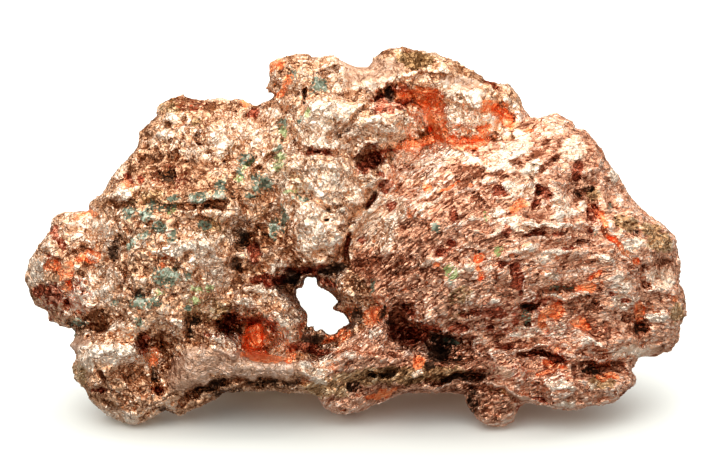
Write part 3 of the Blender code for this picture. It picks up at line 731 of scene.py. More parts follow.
# Ribs, and the raised facets of the hollows, which are the widest of them.
RIBS = (
    Stroke(((-5.6, 39), (-1.8, 38.2), (1.2, 39.4)), 0.9, 0.5),
    Stroke(((-7.6, 32.4), (-4.8, 32.2), (-2, 32.6)), 0.9, 0.4),
    Stroke(((-0.2, 33), (1.4, 34.6), (3.4, 34.9)), 0.35, 0.6),
    Stroke(((5.2, 27.6), (8.4, 29.4), (12, 30.6)), 0.22, 0.4),
    Stroke(((5.8, 26.6), (9, 28.4), (12, 29.2)), 0.22, 0.4),
    Stroke(((6.6, 25.8), (9.4, 27.4), (11.4, 28)), 0.2, 0.35),
    Stroke(((7, 24.8), (9.6, 26.2), (11, 26.6)), 0.18, 0.3),
    Stroke(((12.4, 29), (15, 28.8), (16.2, 27)), 0.25, 0.5),
    Stroke(((13.8, 24), (16.4, 23.4), (18.6, 24.6)), 0.2, 0.4),
    Stroke(((-27.6, 26), (-23.6, 25.4), (-20, 26)), 0.6, 0.3),
    Stroke(((-22.6, 21.8), (-18.6, 22.8), (-15.4, 21.2)), 0.9, 0.5),
    Stroke(((20.4, 22), (26, 21.2), (30.4, 21)), 0.5, 0.4),
    Stroke(((20.2, 25), (24, 24.7), (28, 24.9)), 0.35, 0.5),
    Stroke(((18.4, 9.2), (20.8, 9.9), (23.2, 10.3)), 0.22, 0.8),
    Stroke(((24.8, 9), (29, 8.4), (32.4, 8.8)), 0.35, 0.7),
    Stroke(((22.4, 16.2), (25.2, 15.8), (27, 16.3)), 0.22, 0.6),
    Stroke(((-13.4, 17), (-10.2, 17.1), (-8.2, 15.4), (-6.6, 14.4)), 0.4, 0.8),
    Stroke(((-9, 10.5), (-7.6, 11.3), (-6.4, 12.2)), 0.2, 0.8),
    Stroke(((-20, 9.6), (-15, 8.6), (-9, 8), (-6.4, 7.6)), 0.9, 0.5),
    Stroke(((-34.2, 10.4), (-30.4, 9.9), (-26.4, 9.4)), 0.8, 0.5),
    Stroke(((-31.8, 11), (-30.2, 12), (-28.2, 12.6)), 0.5, 0.4),
    Stroke(((15.2, 5.9), (18, 5), (20.8, 4)), 0.3, 0.8),
    Stroke(((-1.2, 9), (2.4, 8.9), (5.2, 8.4)), 0.4, 0.5),
    Stroke(((-6.8, 8.2), (-4.6, 7.6), (-2.6, 6.9)), 0.22, 0.5),
    Stroke(((-6.6, 7.2), (-4.8, 6.4), (-3.4, 6)), 0.2, 0.5),
    Stroke(((0.9, 14.9), (1.9, 13.2), (3.6, 11.2)), 0.5, 0.7),
    Stroke(((34.6, 25.2), (36.6, 24.6), (38.4, 23.2)), 0.3, 0.3),
    Stroke(((35, 16.9), (37.4, 16.8), (39, 16)), 0.25, 0.5),
    Stroke(((35.2, 18.2), (37, 17.6)), 0.22, 0.4),
    Stroke(((-2.4, 43.6), (0.6, 43.2), (3.4, 44.4)), 0.8, 0.2),
    Stroke(((12.4, 37.6), (13, 37.6), (13.6, 37.8)), 2.9, 4.2),
    Stroke(((-9.6, 12.6), (-8.4, 11.6), (-7.6, 10.8)), 1.6, 3),
    Stroke(((-16.4, 11.2), (-14.6, 10.2)), 1.3, 2.2),
)
# The edge of the nugget as the viewer sees it, clockwise from the left end.
OUTLINE = (
    (-40, 19), (-39.5, 21), (-38, 22.5), (-37.2, 24), (-36.8, 25.5), (-35.5, 26.2), (-33, 26.2),
    (-31.9, 26.3), (-32.2, 27.3), (-30.5, 29), (-29.5, 30.5), (-27.5, 32.5), (-26, 34.5), (-26.2, 36),
    (-25.5, 37), (-24, 37.7), (-24, 38.8), (-22.5, 40.2), (-21, 40.6), (-19.5, 40), (-18.5, 39.8),
    (-16.5, 40.2), (-15, 39.8), (-14.5, 40.3), (-13.5, 40), (-12.2, 38.9), (-11, 39.3), (-10, 39.9),
    (-9.5, 40.5), (-11.1, 41.1), (-10.3, 42), (-10.7, 43), (-10.5, 44.3), (-9.5, 45), (-7.5, 45.4),
    (-5, 45.4), (-3, 45.5), (-2, 44.8), (0, 43.9), (1.5, 43.7), (2, 45), (3, 46), (4.5, 46.5), (7, 46),
    (10, 45.3), (12, 44.5), (14.5, 43.3), (16, 42.2), (18.5, 41.7), (19.5, 40.7), (20.3, 39), (21, 37.7),
    (22.5, 37.7), (24, 38.3), (26, 37.5), (26.5, 36.2), (27.5, 36.2), (28.5, 35.5), (29.7, 34), (30, 32.5),
    (31.7, 30.5), (33, 28), (35, 26), (37, 24.8), (38.5, 23.3), (39, 21), (39.3, 20), (39, 18),
    (39.7, 16.2), (40, 14), (39, 12.5), (39, 11), (38, 9.3), (36.5, 9), (34, 8.9), (33.3, 7.2), (34, 6.2),
    (33.2, 5), (32.2, 4.3), (31, 3.2), (29.5, 2.7), (28, 3), (27, 2.6), (25, 2.3), (23, 2.7), (20.5, 3.2),
    (19.5, 2.5), (19, 1), (17.5, 0.2), (16, 0.2), (14.5, 1.5), (13.3, 3), (13.2, 4.5), (11, 4.4), (8, 4.6),
    (6, 4.5), (3, 3.3), (0, 2), (-2, 1.8), (-4, 2.7), (-5, 4), (-8, 4.5), (-11, 4.7), (-13.5, 4.8),
    (-15.5, 4.3), (-17.5, 3.3), (-19, 2.5), (-21, 1.6), (-23, 2.5), (-24, 2), (-25.5, 0.7), (-27, 0.6),
    (-29.5, 1.5), (-32, 3.7), (-32.5, 5), (-34, 6), (-34.4, 7.5), (-33.7, 9), (-34.7, 10.3), (-34, 11),
    (-34, 12.2), (-35.3, 12.2), (-37, 13.2), (-37.2, 14.3), (-37.8, 14.7), (-38.8, 14.8), (-39.7, 16.3),
    (-40, 18),
)
# The edge of the window through it, clockwise from its upper left.
WINDOW = (
    (-6.2, 18.5), (-4.7, 18.5), (-4.6, 17.4), (-3.2, 16.8), (-2, 15.5), (-2.8, 14.7), (-1.3, 14),
    (-0.6, 12.8), (-1.7, 12.3), (-2.4, 11.6), (-3.3, 11.4), (-4.2, 12.1), (-5, 11.7), (-5.2, 12.5),
    (-6.1, 12.2), (-5.9, 14), (-6.6, 14.8), (-7.3, 16.2), (-7.2, 17.2), (-6.5, 17.3),
)


def from_path(path: tuple, x: np.ndarray, z: np.ndarray) -> np.ndarray:
    """Distance to a path of points, over (x, z)."""
    far = np.full(x.shape, FAR, np.float32)
    for (ax, az), (bx, bz) in zip(path, path[1:]):
        lx, lz = bx - ax, bz - az
        t = np.clip(((x - ax) * lx + (z - az) * lz) / (lx * lx + lz * lz), 0, 1)
        far = np.minimum(far, np.hypot(x - ax - t * lx, z - az - t * lz))
    return far


def from_outline(outline: tuple, x: np.ndarray, z: np.ndarray) -> np.ndarray:
    """Distance to a closed outline over (x, z), negative inside it."""
    closed = outline + outline[:1]
    inside = np.zeros(x.shape, bool)
    for (ax, az), (bx, bz) in zip(closed, closed[1:]):
        if az != bz:
            inside ^= ((az > z) != (bz > z)) & (x < ax + (z - az) * (bx - ax) / (bz - az))
    far = from_path(closed, x, z)
    return np.where(inside, -far, far).astype(np.float32)


class FaceMap:
    """Maps over the display face, as the viewer sees it, of its tints, its relief and its outline."""

    STEP = 0.14
    LOW = (-44.0, -4.0)
    HIGH = (44.0, 50.0)
    EDGE = (0.65, 1.35)  # where a patch starts to fade and has faded, as shares of its size
    DEEPEST = (-2.0, -3.0)  # that the patches reach, and that all the marks do
    # How the marks' edges are shaken in x and in z: how far, the size of a swell, and the seed.
    SHAKES = (((0.62, 1.9, 41), (0.30, 0.6, 51)), ((0.62, 1.9, 45), (0.30, 0.6, 55)))

    def __init__(self) -> None:
        """Draws every map."""
        x, z = (np.arange(a, b, self.STEP, dtype=np.float32) for a, b in zip(self.LOW, self.HIGH))
        self.x, self.z = np.meshgrid(x, z, indexing="ij")
        flat = np.stack([self.x.ravel(), np.zeros(self.x.size), self.z.ravel()], axis=1)
        self.torn_x, self.torn_z = (
            grid + sum(far * Noise(size, seed, 2).at(flat) for far, size, seed in shake).reshape(x.size, z.size)
            for grid, shake in zip((self.x, self.z), self.SHAKES)
        )
        self.tints = {tint: self._patches(PATCHES[tint]) for tint in Tint}
        self.relief = self._relief()
        self.outline = from_outline(OUTLINE, self.x, self.z)
        self.window = from_outline(WINDOW, self.x, self.z)

    def _patches(self, groups: dict[float, tuple]) -> np.ndarray:
        """The strength of one tint's patches, which fades over their edges."""
        total = np.zeros(self.x.shape, np.float32)
        for strength, rows in groups.items():
            for x, z, rx, rz, *tilt in rows:
                reach = 2.2 * max(rx, rz) + 1.2
                a, b = (int((v - low) / self.STEP) for v, low in zip((x - reach, z - reach), self.LOW))
                c, d = (int((v - low) / self.STEP) + 1 for v, low in zip((x + reach, z + reach), self.LOW))
                near = slice(max(a, 0), c), slice(max(b, 0), d)
                dx, dz = self.torn_x[near] - x, self.torn_z[near] - z
                angle = math.radians(*tilt or (0,))
                u = (dx * math.cos(angle) + dz * math.sin(angle)) / rx
                w = (-dx * math.sin(angle) + dz * math.cos(angle)) / rz
                patch = strength * (1 - ramp(np.sqrt(u * u + w * w), *self.EDGE))
                total[near] = np.maximum(total[near], patch)
        return total

    def _stroke(self, stroke: Stroke) -> np.ndarray:
        """The profile of a stroke: 1 along its middle, 0 beyond its sides."""
        return np.clip(1.3 - from_path(stroke.path, self.torn_x, self.torn_z) / stroke.width, 0, 1)

    def _relief(self) -> np.ndarray:
        """How far the face stands out at each point."""
        total = np.zeros(self.x.shape, np.float32)
        for tint, proud in PROUD.items():
            total += proud * self.tints[tint]
        total = np.maximum(total, self.DEEPEST[0])
        for rib in RIBS:
            total += rib.proud * np.sqrt(self._stroke(rib))
        for crack in CRACKS:
            total += crack.proud * self._stroke(crack)
        return np.maximum(total, self.DEEPEST[1])

    def read(self, values: np.ndarray, x: np.ndarray, z: np.ndarray) -> np.ndarray:
        """Reads a map between its points."""
        u = np.clip((x - self.LOW[0]) / self.STEP, 0, values.shape[0] - LAST)
        w = np.clip((z - self.LOW[1]) / self.STEP, 0, values.shape[1] - LAST)
        i, k = u.astype(np.int32), w.astype(np.int32)
        fu, fw = u - i, w - k
        low = values[i, k] * (1 - fw) + values[i, k + 1] * fw
        high = values[i + 1, k] * (1 - fw) + values[i + 1, k + 1] * fw
        return (low * (1 - fu) + high * fu).astype(np.float32)


# ---------------------------------------------------------------------------------------------------------
# The skin
# ---------------------------------------------------------------------------------------------------------


# How the tints lie on the sides and the back: the size of a patch, and the noise where it starts and is full.
WILD = {
    Tint.PALE: (3.4, 0.10, 0.55),
    Tint.UMBER: (5.0, 0.05, 0.50),
    Tint.GILD: (4.2, 0.25, 0.60),
    Tint.EMBER: (2.4, 0.38, 0.62),
    Tint.BLOOD: (1.7, 0.36, 0.60),
    Tint.SOOT: (1.2, 0.45, 0.75),
    Tint.VERDIGRIS: (1.9, 0.34, 0.62),
    Tint.LIME: (1.3, 0.48, 0.72),
}

WILD_SEED = 60

# The skin's parts from left to right, each with the X where it ends, in mm.
PARTS = {"left_mass": -19.2, "head": -6.1, "chunk": 6.0, "dome": 20.2, "right_end": NOTHING}


# The patterns of the relief, from the coarsest to the finest.
LUMPS = Facets((5.6, 5.6, 4.6), 15, 1.1)
BLOCKS = Facets((2.7, 2.7, 2.3), 5, 1.1)
CHIPS = Facets((1.25, 1.25, 1.1), 6, 1.2)
GRAINS = Facets((0.72, 0.72, 0.66), 8, 1.3)
ROPES = Noise((4.5, 1.5, 1.1), 7, 2)
FIBRES = Noise((2.4, 0.7, 0.45), 9, 2)
HAIRS = Noise((1.5, 0.5, 0.28), 31)
SEAMS = Noise((4.2, 4.2, 3.6), 12, 2)
SEAMED = Noise(9.0, 13)
BACK_PITS = Noise((2.6, 2.6, 2.2), 16, 2)
PITS = Noise((1.4, 1.4, 1.1), 10, 2)
WARPS = (Noise(3.2, 11, 2), Noise(3.2, 12, 2), Noise(3.2, 13, 2))
SWIRLS = {0: Noise(4.0, 21), 2: Noise(4.0, 22)}


@dataclass(frozen=True)
class Heights:
    """How high the patterns of the relief stand, or how deep they cut, in mm.

    Attributes:
        lumps: The coarse lumps of the back.
        back_pits: The pits between them.
        blocks: The torn lumps of the face.
        chips: The crystal faces on them.
        ropes: The bundles of fibres.
        seams: The cracks between lumps.
        grains: The finest grains.
        fibres: The single fibres.
        pits: The finest pits.
        hairs: The finest lines along the fibres.
        jitter: The shift of single vertices.
    """

    lumps: float = 0.6
    back_pits: float = 2.2
    blocks: float = 0.32
    chips: float = 0.18
    ropes: float = 0.35
    seams: float = 0.5
    grains: float = 0.14
    fibres: float = 0.30
    pits: float = 0.8
    hairs: float = 0.10
    jitter: float = 0.02


@dataclass
class Skin:
    """The nugget's visible surface, made from the frame's solid.

    Attributes:
        face: The plane it is shown by.
        step: Grain of the lattice, in mm.
        window: The depths between which the wall round the window stands, in mm.
        relief_depth: How far behind the front the face's marks start to fade and have faded, in mm.
        tall: How high the relief stands.
    """

    # How far from the surface each step of the relief works, in mm.
    HACKLE_REACH = 2.2
    EMBOSS_REACH = 5.2
    GRAIN_REACH = 1.2

    face: DisplayFace = DisplayFace()
    step: float = 0.214
    window: tuple[float, float] = (-5.0, 1.0)
    relief_depth: tuple[float, float] = (3.0, 7.0)
    tall: Heights = Heights()

    def build(self, node: bpy.types.Object) -> list:
        """Makes the skin.

        Args:
            node: The frame's solid.

        Returns:
            Its parts as objects in the row frame, left to right.
        """
        self.maps = FaceMap()
        lattice = self._lattice(node)
        lattice.depth = lattice.blurred(lattice.depth, 0.5)
        self._rim(lattice)
        self._hackle(lattice)
        self._emboss(lattice)
        self._trim(lattice)
        self._open_window(lattice)
        self._grain(lattice)
        self._stand(lattice)
        vertices, quads = self._largest_shell(*lattice.skin())
        values = self._values(vertices, lattice)
        vertices = self._sharpen(vertices, quads)
        return self._pieces(vertices, self._triangles(vertices, quads), values)

    def _lattice(self, node: bpy.types.Object) -> Lattice:
        """The frame's solid as a lattice in display millimetres."""
        mesh = node.data
        mesh.calc_loop_triangles()
        points = np.empty(len(mesh.vertices) * 3, np.float32)
        mesh.vertices.foreach_get("co", points)
        triangles = np.empty(len(mesh.loop_triangles) * 3, np.int32)
        mesh.loop_triangles.foreach_get("vertices", triangles)
        placed = np.array(node.matrix_world)
        row = points.reshape(-1, 3) @ placed[:3, :3].T + placed[:3, 3]
        faces = triangles.reshape(-1, 3)
        return Lattice.around(self.face.from_row(row), faces, self.step, margin=2.0, reach=3.0)

    def _slabs(self, lattice: Lattice) -> list:
        """Thin windows that cover the lattice, front to back."""
        nx, ny, nz = lattice.depth.shape
        thick = 8
        return [(slice(0, nx), slice(j, min(j + thick, ny)), slice(0, nz)) for j in range(0, ny, thick)]

    def _seen(self, lattice: Lattice, window: tuple) -> tuple[np.ndarray, np.ndarray, np.ndarray]:
        """Where the points of a window stand on the face as the viewer sees them, and their Y."""
        x, y, z = np.broadcast_arrays(*lattice.axes(window))
        return (*self.face.seen(x, y, z), y)

    def _smooth(self, x: np.ndarray, z: np.ndarray) -> np.ndarray:
        """How much of the metal there is smooth, 0 to 1."""
        return self.maps.read(self.maps.tints[Tint.BLUSH], x, z)

    def _rim(self, lattice: Lattice) -> None:
        """Grows a thin rim wherever the metal falls short of its outline."""
        spread_over, half, nothing = 2.5, 2.4, 9.0
        solid = (lattice.depth < 0).astype(np.float32)
        y = lattice.axes(tuple(slice(0, n) for n in lattice.depth.shape))[1]
        there = solid.any(axis=1, keepdims=True).astype(np.float32)
        middle = (solid * y).sum(axis=1, keepdims=True) / np.maximum(solid.sum(axis=1, keepdims=True), 1)
        spread = lattice.blurred(there, spread_over)
        middle = lattice.blurred(middle * there, spread_over) / np.maximum(spread, 1e-3)
        for window in self._slabs(lattice):
            x, z, yy = self._seen(lattice, window)
            edge = self.maps.read(self.maps.outline, x, z)
            rim = np.maximum(edge, -3.0) + ((yy - middle) / half) ** 2
            here = lattice.depth[window]
            np.minimum(here, np.where(edge < 0, rim, nothing), out=here)

    @staticmethod
    def fibrous(x: np.ndarray, z: np.ndarray) -> np.ndarray:
        """How fibrous the metal is: 0 on the granular left and the head, 1 on the right dome."""
        edge = np.interp(z, [8, 14, 20, 25, 30, 34, 35, 50], [-6, 4, -0.5, 0, 3.8, 5, 19, 24])
        return ramp(x - edge, -1.2, 1.2)

    @staticmethod
    def along_fibres(points: np.ndarray, x: np.ndarray) -> np.ndarray:
        """The points with the fibres' rise taken out, so that X runs along them, steepest on the left."""
        at = np.arange(-45.0, 46.0)
        rise = np.tan(np.radians(np.interp(at, [0, 8, 16, 24, 32, 38, 41], [38, 33, 24, 12, 2, -12, -30])))
        climbed = np.interp(x, at, np.cumsum(rise))
        straight = points.copy()
        straight[:, 2] -= climbed
        return straight

    def _hackle(self, lattice: Lattice) -> None:
        """Breaks the curves into torn lumps and crystal faces of one to three millimetres."""
        index = np.nonzero(np.abs(lattice.depth) < self.HACKLE_REACH)
        points = lattice.points(index)
        x, z = self.face.seen(*points.T)
        fibrous = self.fibrous(x, z)
        rugged = 1 - 0.8 * self._smooth(x, z)
        moved = points.copy()
        for axis, warp in enumerate(WARPS):
            moved[:, axis] += 0.6 * rugged * warp.at(points)
        tall = self.tall
        blocks = BLOCKS.at(moved) * (1 - 0.35 * fibrous)
        chips = CHIPS.at(moved) * (1 - 0.4 * fibrous)
        ropes = (0.32 - np.abs(ROPES.at(self.along_fibres(moved, x)))) * fibrous
        seams = np.clip(1 - np.abs(SEAMS.at(moved)) / 0.07, 0, 1)
        where = ramp(SEAMED.at(points), -0.15, 0.3)
        back = ramp(points[:, 1] - lattice.front(NOTHING)[index[0], index[2]], 4.0, 8.0)
        pits = np.clip(BACK_PITS.at(moved) - 0.25, 0, None)
        height = back * (tall.lumps * LUMPS.at(moved) - tall.back_pits * pits) + rugged * (
            tall.blocks * blocks + tall.chips * chips + tall.ropes * ropes - tall.seams * seams * where
        )
        lattice.depth[index] = lattice.sample(lattice.depth, moved) - height

    def _emboss(self, lattice: Lattice) -> None:
        """Raises and sinks the face by its relief map."""
        index = np.nonzero(lattice.depth < self.EMBOSS_REACH)
        front = lattice.front(NOTHING)[index[0], index[2]]
        behind = lattice.low[1] + index[1] * lattice.step - front
        near = (behind > -self.EMBOSS_REACH) & (behind < self.relief_depth[1])
        index = tuple(i[near] for i in index)
        points = lattice.points(index)
        x, z = self.face.seen(*points.T)
        shift = self.maps.read(self.maps.relief, x, z) * (1 - ramp(behind[near], *self.relief_depth))
        points[:, 1] += shift
        lattice.depth[index] = lattice.sample(lattice.depth, points)

    def _open_window(self, lattice: Lattice) -> None:
        """Gives the window through the nugget its outline, in a thin wall between two depths."""
        margin, through, wall, flare = 3.0, 30.0, 2.2, 0.12
        xs, zs = zip(*WINDOW)
        low = np.array([min(xs) - margin, -through, min(zs) - margin])
        high = np.array([max(xs) + margin, through, max(zs) + margin])
        window = lattice.window(low, high)
        x, z, y = self._seen(lattice, window)
        hole = self.maps.read(self.maps.window, x, z)
        half = (self.window[1] - self.window[0]) / 2
        off = np.abs(y - sum(self.window) / 2) - half
        here = lattice.depth[window]
        np.minimum(here, np.maximum(off, hole - wall), out=here)
        np.maximum(here, -hole + flare * np.clip(off, 0, None), out=here)

    def _grain(self, lattice: Lattice) -> None:
        """Adds the finest relief that the mesh can hold: grains on the left, fibres on the right."""
        index = np.nonzero(np.abs(lattice.depth) < self.GRAIN_REACH)
        points = lattice.points(index)
        x, z = self.face.seen(*points.T)
        fibrous = self.fibrous(x, z)
        rugged = 1 - 0.9 * self._smooth(x, z)
        swirl = points.copy()
        for axis, noise in SWIRLS.items():
            swirl[:, axis] += 0.9 * noise.at(points)
        tall = self.tall
        grains = GRAINS.at(swirl) * (1 - 0.5 * fibrous)
        fibres = FIBRES.at(self.along_fibres(swirl, x)) * fibrous
        pits = np.clip(PITS.at(points) - 0.30, 0, None)
        lattice.depth[index] -= rugged * (tall.grains * grains + tall.fibres * fibres - tall.pits * pits)

    def _trim(self, lattice: Lattice) -> None:
        """Trims whatever reaches past the outline, and rounds the cut."""
        inset, radius = 0.1, 0.9
        for window in self._slabs(lattice):
            x, z, _ = self._seen(lattice, window)
            edge = self.maps.read(self.maps.outline, x, z) - inset
            here = lattice.depth[window]
            blend = np.clip(radius - np.abs(here - edge), 0, None) ** 2 / (4 * radius)
            here[...] = np.maximum(here, edge) + blend

    def _stand(self, lattice: Lattice) -> None:
        """Trims whatever reaches below the ground."""
        m = np.array(self.face.matrix()) / MM
        for window in self._slabs(lattice):
            x, y, z = lattice.axes(window)
            here = lattice.depth[window]
            np.maximum(here, -(m[2, 0] * x + m[2, 1] * y + m[2, 2] * z + m[2, 3]), out=here)

    @staticmethod
    def _largest_shell(vertices: np.ndarray, quads: np.ndarray) -> tuple[np.ndarray, np.ndarray]:
        """Drops every crumb that isn't joined to the body."""
        label = np.arange(len(vertices))
        while True:
            lowest = label[quads].min(axis=1)
            new = label.copy()
            np.minimum.at(new, quads.ravel(), np.repeat(lowest, 4))
            new = new[new]
            if (new == label).all():
                break
            label = new
        body = np.bincount(label).argmax()
        kept = label == body
        renumber = np.cumsum(kept) - 1
        return vertices[kept], renumber[quads[kept[quads[:, 0]]]]

    def _sharpen(self, vertices: np.ndarray, quads: np.ndarray) -> np.ndarray:
        """Moves each vertex a little, so that every small face catches the light by itself."""
        normals = self._normals(vertices, quads)
        x, z = self.face.seen(*vertices.T)
        fibrous = self.fibrous(x, z)
        rugged = 1 - 0.9 * self._smooth(x, z)
        tall = self.tall
        rng = np.random.default_rng(77)
        jitter = rng.uniform(-1, 1, vertices.shape).astype(np.float32)
        lift = rng.uniform(-1, 1, len(vertices)).astype(np.float32) * (tall.jitter - 0.01 * fibrous)
        height = lift + tall.hairs * (HAIRS.at(self.along_fibres(vertices, x)) * fibrous)
        return vertices + rugged[:, None] * (tall.jitter * jitter + height[:, None] * normals)

    @staticmethod
    def _normals(vertices: np.ndarray, quads: np.ndarray) -> np.ndarray:
        """Vertex normals of a quad mesh."""
        a, b, c, d = (vertices[quads[:, k]] for k in range(4))
        flat = np.cross(c - a, d - b)
        total = np.zeros_like(vertices)
        for k in range(4):
            for axis in range(3):
                total[:, axis] += np.bincount(quads[:, k], flat[:, axis], len(vertices))
        return total / np.maximum(np.linalg.norm(total, axis=1), 1e-9)[:, None]

    @staticmethod
    def _triangles(vertices: np.ndarray, quads: np.ndarray) -> np.ndarray:
        """Halves each quad along its shorter diagonal."""
        a, b, c, d = quads.T
        one, other = (np.linalg.norm(vertices[i] - vertices[k], axis=1) for i, k in ((a, c), (b, d)))
        short = (one < other)[:, None]
        first = np.where(short, np.stack([a, b, c], 1), np.stack([a, b, d], 1))
        second = np.where(short, np.stack([a, c, d], 1), np.stack([b, c, d], 1))
        return np.concatenate([first, second])

    def _pieces(self, vertices: np.ndarray, triangles: np.ndarray, values: dict[str, np.ndarray]) -> list:
        """Cuts the skin at the edges of its parts, each under the limit of one mesh.

        Args:
            vertices: In display millimetres.
            triangles: Their faces.
            values: Point attributes by name.

        Returns:
            One object a part.
        """
        middle = vertices[triangles].mean(axis=1)[:, 0]
        pieces = []
        for part, low, high in zip(PARTS, (-NOTHING, *PARTS.values()), PARTS.values()):
            own = triangles[(middle >= low) & (middle < high)]
            used, own = np.unique(own, return_inverse=True)
            kept = {name: value[used] for name, value in values.items()}
            pieces.append(self._piece(part, vertices[used], own.reshape(-1, 3), kept))
        return pieces

    def _piece(
        self, name: str, vertices: np.ndarray, triangles: np.ndarray, values: dict[str, np.ndarray]
    ) -> bpy.types.Object:
        """One part of the skin as an object in the row frame.

        Args:
            name: What it is called.
            vertices: In display millimetres.
            triangles: Their faces.
            values: Point attributes by name.

        Returns:
            The object.
        """
        mesh = bpy.data.meshes.new(name)
        mesh.vertices.add(len(vertices))
        mesh.vertices.foreach_set("co", self.face.to_row(vertices).astype(np.float32).ravel())
        mesh.loops.add(triangles.size)
        mesh.loops.foreach_set("vertex_index", triangles.astype(np.int32).ravel())
        mesh.polygons.add(len(triangles))
        mesh.polygons.foreach_set("loop_start", np.arange(0, triangles.size, 3, dtype=np.int32))
        for key, value in values.items():
            kind = ("FLOAT", "value") if value.ndim == 1 else ("FLOAT_VECTOR", "vector")
            layer = mesh.attributes.new(key, kind[0], "POINT")
            layer.data.foreach_set(kind[1], np.ascontiguousarray(value, np.float32).ravel())
        mesh.update()
        mesh.polygons.foreach_set("use_smooth", np.ones(len(triangles), bool))
        mesh.validate()
        return linked(name, mesh)

    def _values(self, points: np.ndarray, lattice: Lattice) -> dict[str, np.ndarray]:
        """The point attributes: the tints, the hollowness, and the run of the fibres."""
        crisp, broad = 0.5, 2.2
        filled = np.clip(0.5 - lattice.depth / crisp, 0, 1)
        near = lattice.blurred(filled, crisp)
        wide = lattice.blurred(near, broad)
        x, z = self.face.seen(*points.T)
        values = {
            "crease": np.clip(lattice.sample(near, points) * 2 - 0.5, 0, 1),
            "hollow": np.clip(lattice.sample(wide, points) * 2 - 0.5, 0, 1),
            "fibrous": self.fibrous(x, z),
            "fibre": self.along_fibres(points, x),
        }
        front = lattice.front(0.0)[:, None, :].repeat(2, axis=1)
        flat = points.copy()
        flat[:, 1] = lattice.low[1]
        shown = 1 - ramp(points[:, 1] - lattice.sample(front, flat), *self.relief_depth)
        for tint in Tint:
            wild = 0.0
            if tint in WILD:
                scale, low, high = WILD[tint]
                wild = ramp(Noise(scale, WILD_SEED + len(tint.value), 2).at(points), low, high) * (1 - shown)
            values[tint.value] = self.maps.read(self.maps.tints[tint], x, z) * shown + wild
        return values


# ---------------------------------------------------------------------------------------------------------
# Finishes
# ---------------------------------------------------------------------------------------------------------


class Nodes:
    """A short way to wire shader nodes."""

    def __init__(self, owner: bpy.types.Material | bpy.types.World) -> None:
        """Empties the owner's node tree."""
        owner.use_nodes = True
        self.tree = owner.node_tree
        self.tree.nodes.clear()

    def add(self, kind: str, **inputs: object) -> bpy.types.Node:
        """Adds a node.

        Args:
            kind: Its type, without the ShaderNode in front.
            inputs: Values or sockets by input name, with _ for a space, and settings in lower case.

        Returns:
            The node.
        """
        node = self.tree.nodes.new("ShaderNode" + kind)
        for name, value in inputs.items():
            if name[0].islower():
                setattr(node, name, value)
        for name, value in inputs.items():
            if not name[0].islower():
                self.plug(node.inputs[name.replace("_", " ")], value)
        return node

    def plug(self, socket: bpy.types.NodeSocket, value: object) -> None:
        """Links a socket to the input, or sets its value."""
        if isinstance(value, bpy.types.NodeSocket):
            self.tree.links.new(value, socket)
        else:
            socket.default_value = value

    def math(self, operation: str, a: object, b: object = 0.0, clamp: bool = False) -> bpy.types.NodeSocket:
        """A Math node's result."""
        node = self.add("Math", operation=operation, use_clamp=clamp)
        self.plug(node.inputs[0], a)
        self.plug(node.inputs[1], b)
        return node.outputs[0]

    def vector(self, operation: str, a: object, b: object) -> bpy.types.NodeSocket:
        """A Vector Math node's result."""
        node = self.add("VectorMath", operation=operation)
        self.plug(node.inputs[0], a)
        self.plug(node.inputs["Scale" if operation == "SCALE" else 1], b)
        return node.outputs["Value" if operation == "DOT_PRODUCT" else 0]

    def mix(self, share: object, a: object, b: object) -> bpy.types.NodeSocket:
        """A blend of two colours."""
        node = self.add("Mix", data_type="RGBA")
        self.plug(node.inputs["Factor"], share)
        self.plug(node.inputs[6], a)
        self.plug(node.inputs[7], b)
        return node.outputs[2]

    def ramp(
        self, value: object, low: float, high: float, bottom: float = 0.0, top: float = 1.0
    ) -> bpy.types.NodeSocket:
        """A smooth map of a value from low to high onto bottom to top, clamped."""
        node = self.add("MapRange", interpolation_type="SMOOTHSTEP")
        for socket, number in zip(node.inputs, (value, low, high, bottom, top)):
            self.plug(socket, number)
        return node.outputs[0]

    def attribute(self, name: str) -> bpy.types.NodeSocket:
        """A point attribute's value."""
        return self.add("Attribute", attribute_name=name).outputs["Fac"]

    def noise(
        self, where: object, scale: float, detail: float = 3.0, rough: float = 0.55
    ) -> bpy.types.NodeSocket:
        """Soft noise, 0 to 1."""
        return self.add("TexNoise", Vector=where, Scale=scale, Detail=detail, Roughness=rough).outputs["Fac"]

    def cells(self, where: object, scale: float) -> bpy.types.NodeSocket:
        """A random vector, 0 to 1, for each Voronoi cell."""
        return self.add("TexVoronoi", Vector=where, Scale=scale).outputs["Color"]

    def gaps(self, where: object, scale: float) -> bpy.types.NodeSocket:
        """How far the nearest edge between cells is."""
        cells = self.add("TexVoronoi", feature="DISTANCE_TO_EDGE", Vector=where, Scale=scale)
        return cells.outputs["Distance"]

    def blend(self, share: object, a: object, b: object) -> bpy.types.NodeSocket:
        """A blend of two values."""
        return self.math("ADD", a, self.math("MULTIPLY", share, self.math("SUBTRACT", b, a)))

    def vmix(self, share: object, a: object, b: object) -> bpy.types.NodeSocket:
        """A blend of two vectors."""
        return self.vector("ADD", a, self.vector("SCALE", self.vector("SUBTRACT", b, a), share))

    def scaled(self, value: object, size: float, share: object = 1.0) -> bpy.types.NodeSocket:
        """A 0-to-1 value centred on 0 and scaled."""
        return self.math("MULTIPLY", self.math("SUBTRACT", value, 0.5), self.math("MULTIPLY", share, size))

    def total(self, *values: object) -> bpy.types.NodeSocket:
        """The sum of the values."""
        first, *rest = values
        for value in rest:
            first = self.math("ADD", first, value)
        return first

    def product(self, *values: object) -> bpy.types.NodeSocket:
        """The product of the values."""
        first, *rest = values
        for value in rest:
            first = self.math("MULTIPLY", first, value)
        return first

    def show(self, kind: str, shader: bpy.types.Node) -> None:
        """Shows a shader on the tree's output, which is of that kind."""
        self.plug(self.add("Output" + kind).inputs["Surface"], shader.outputs[0])


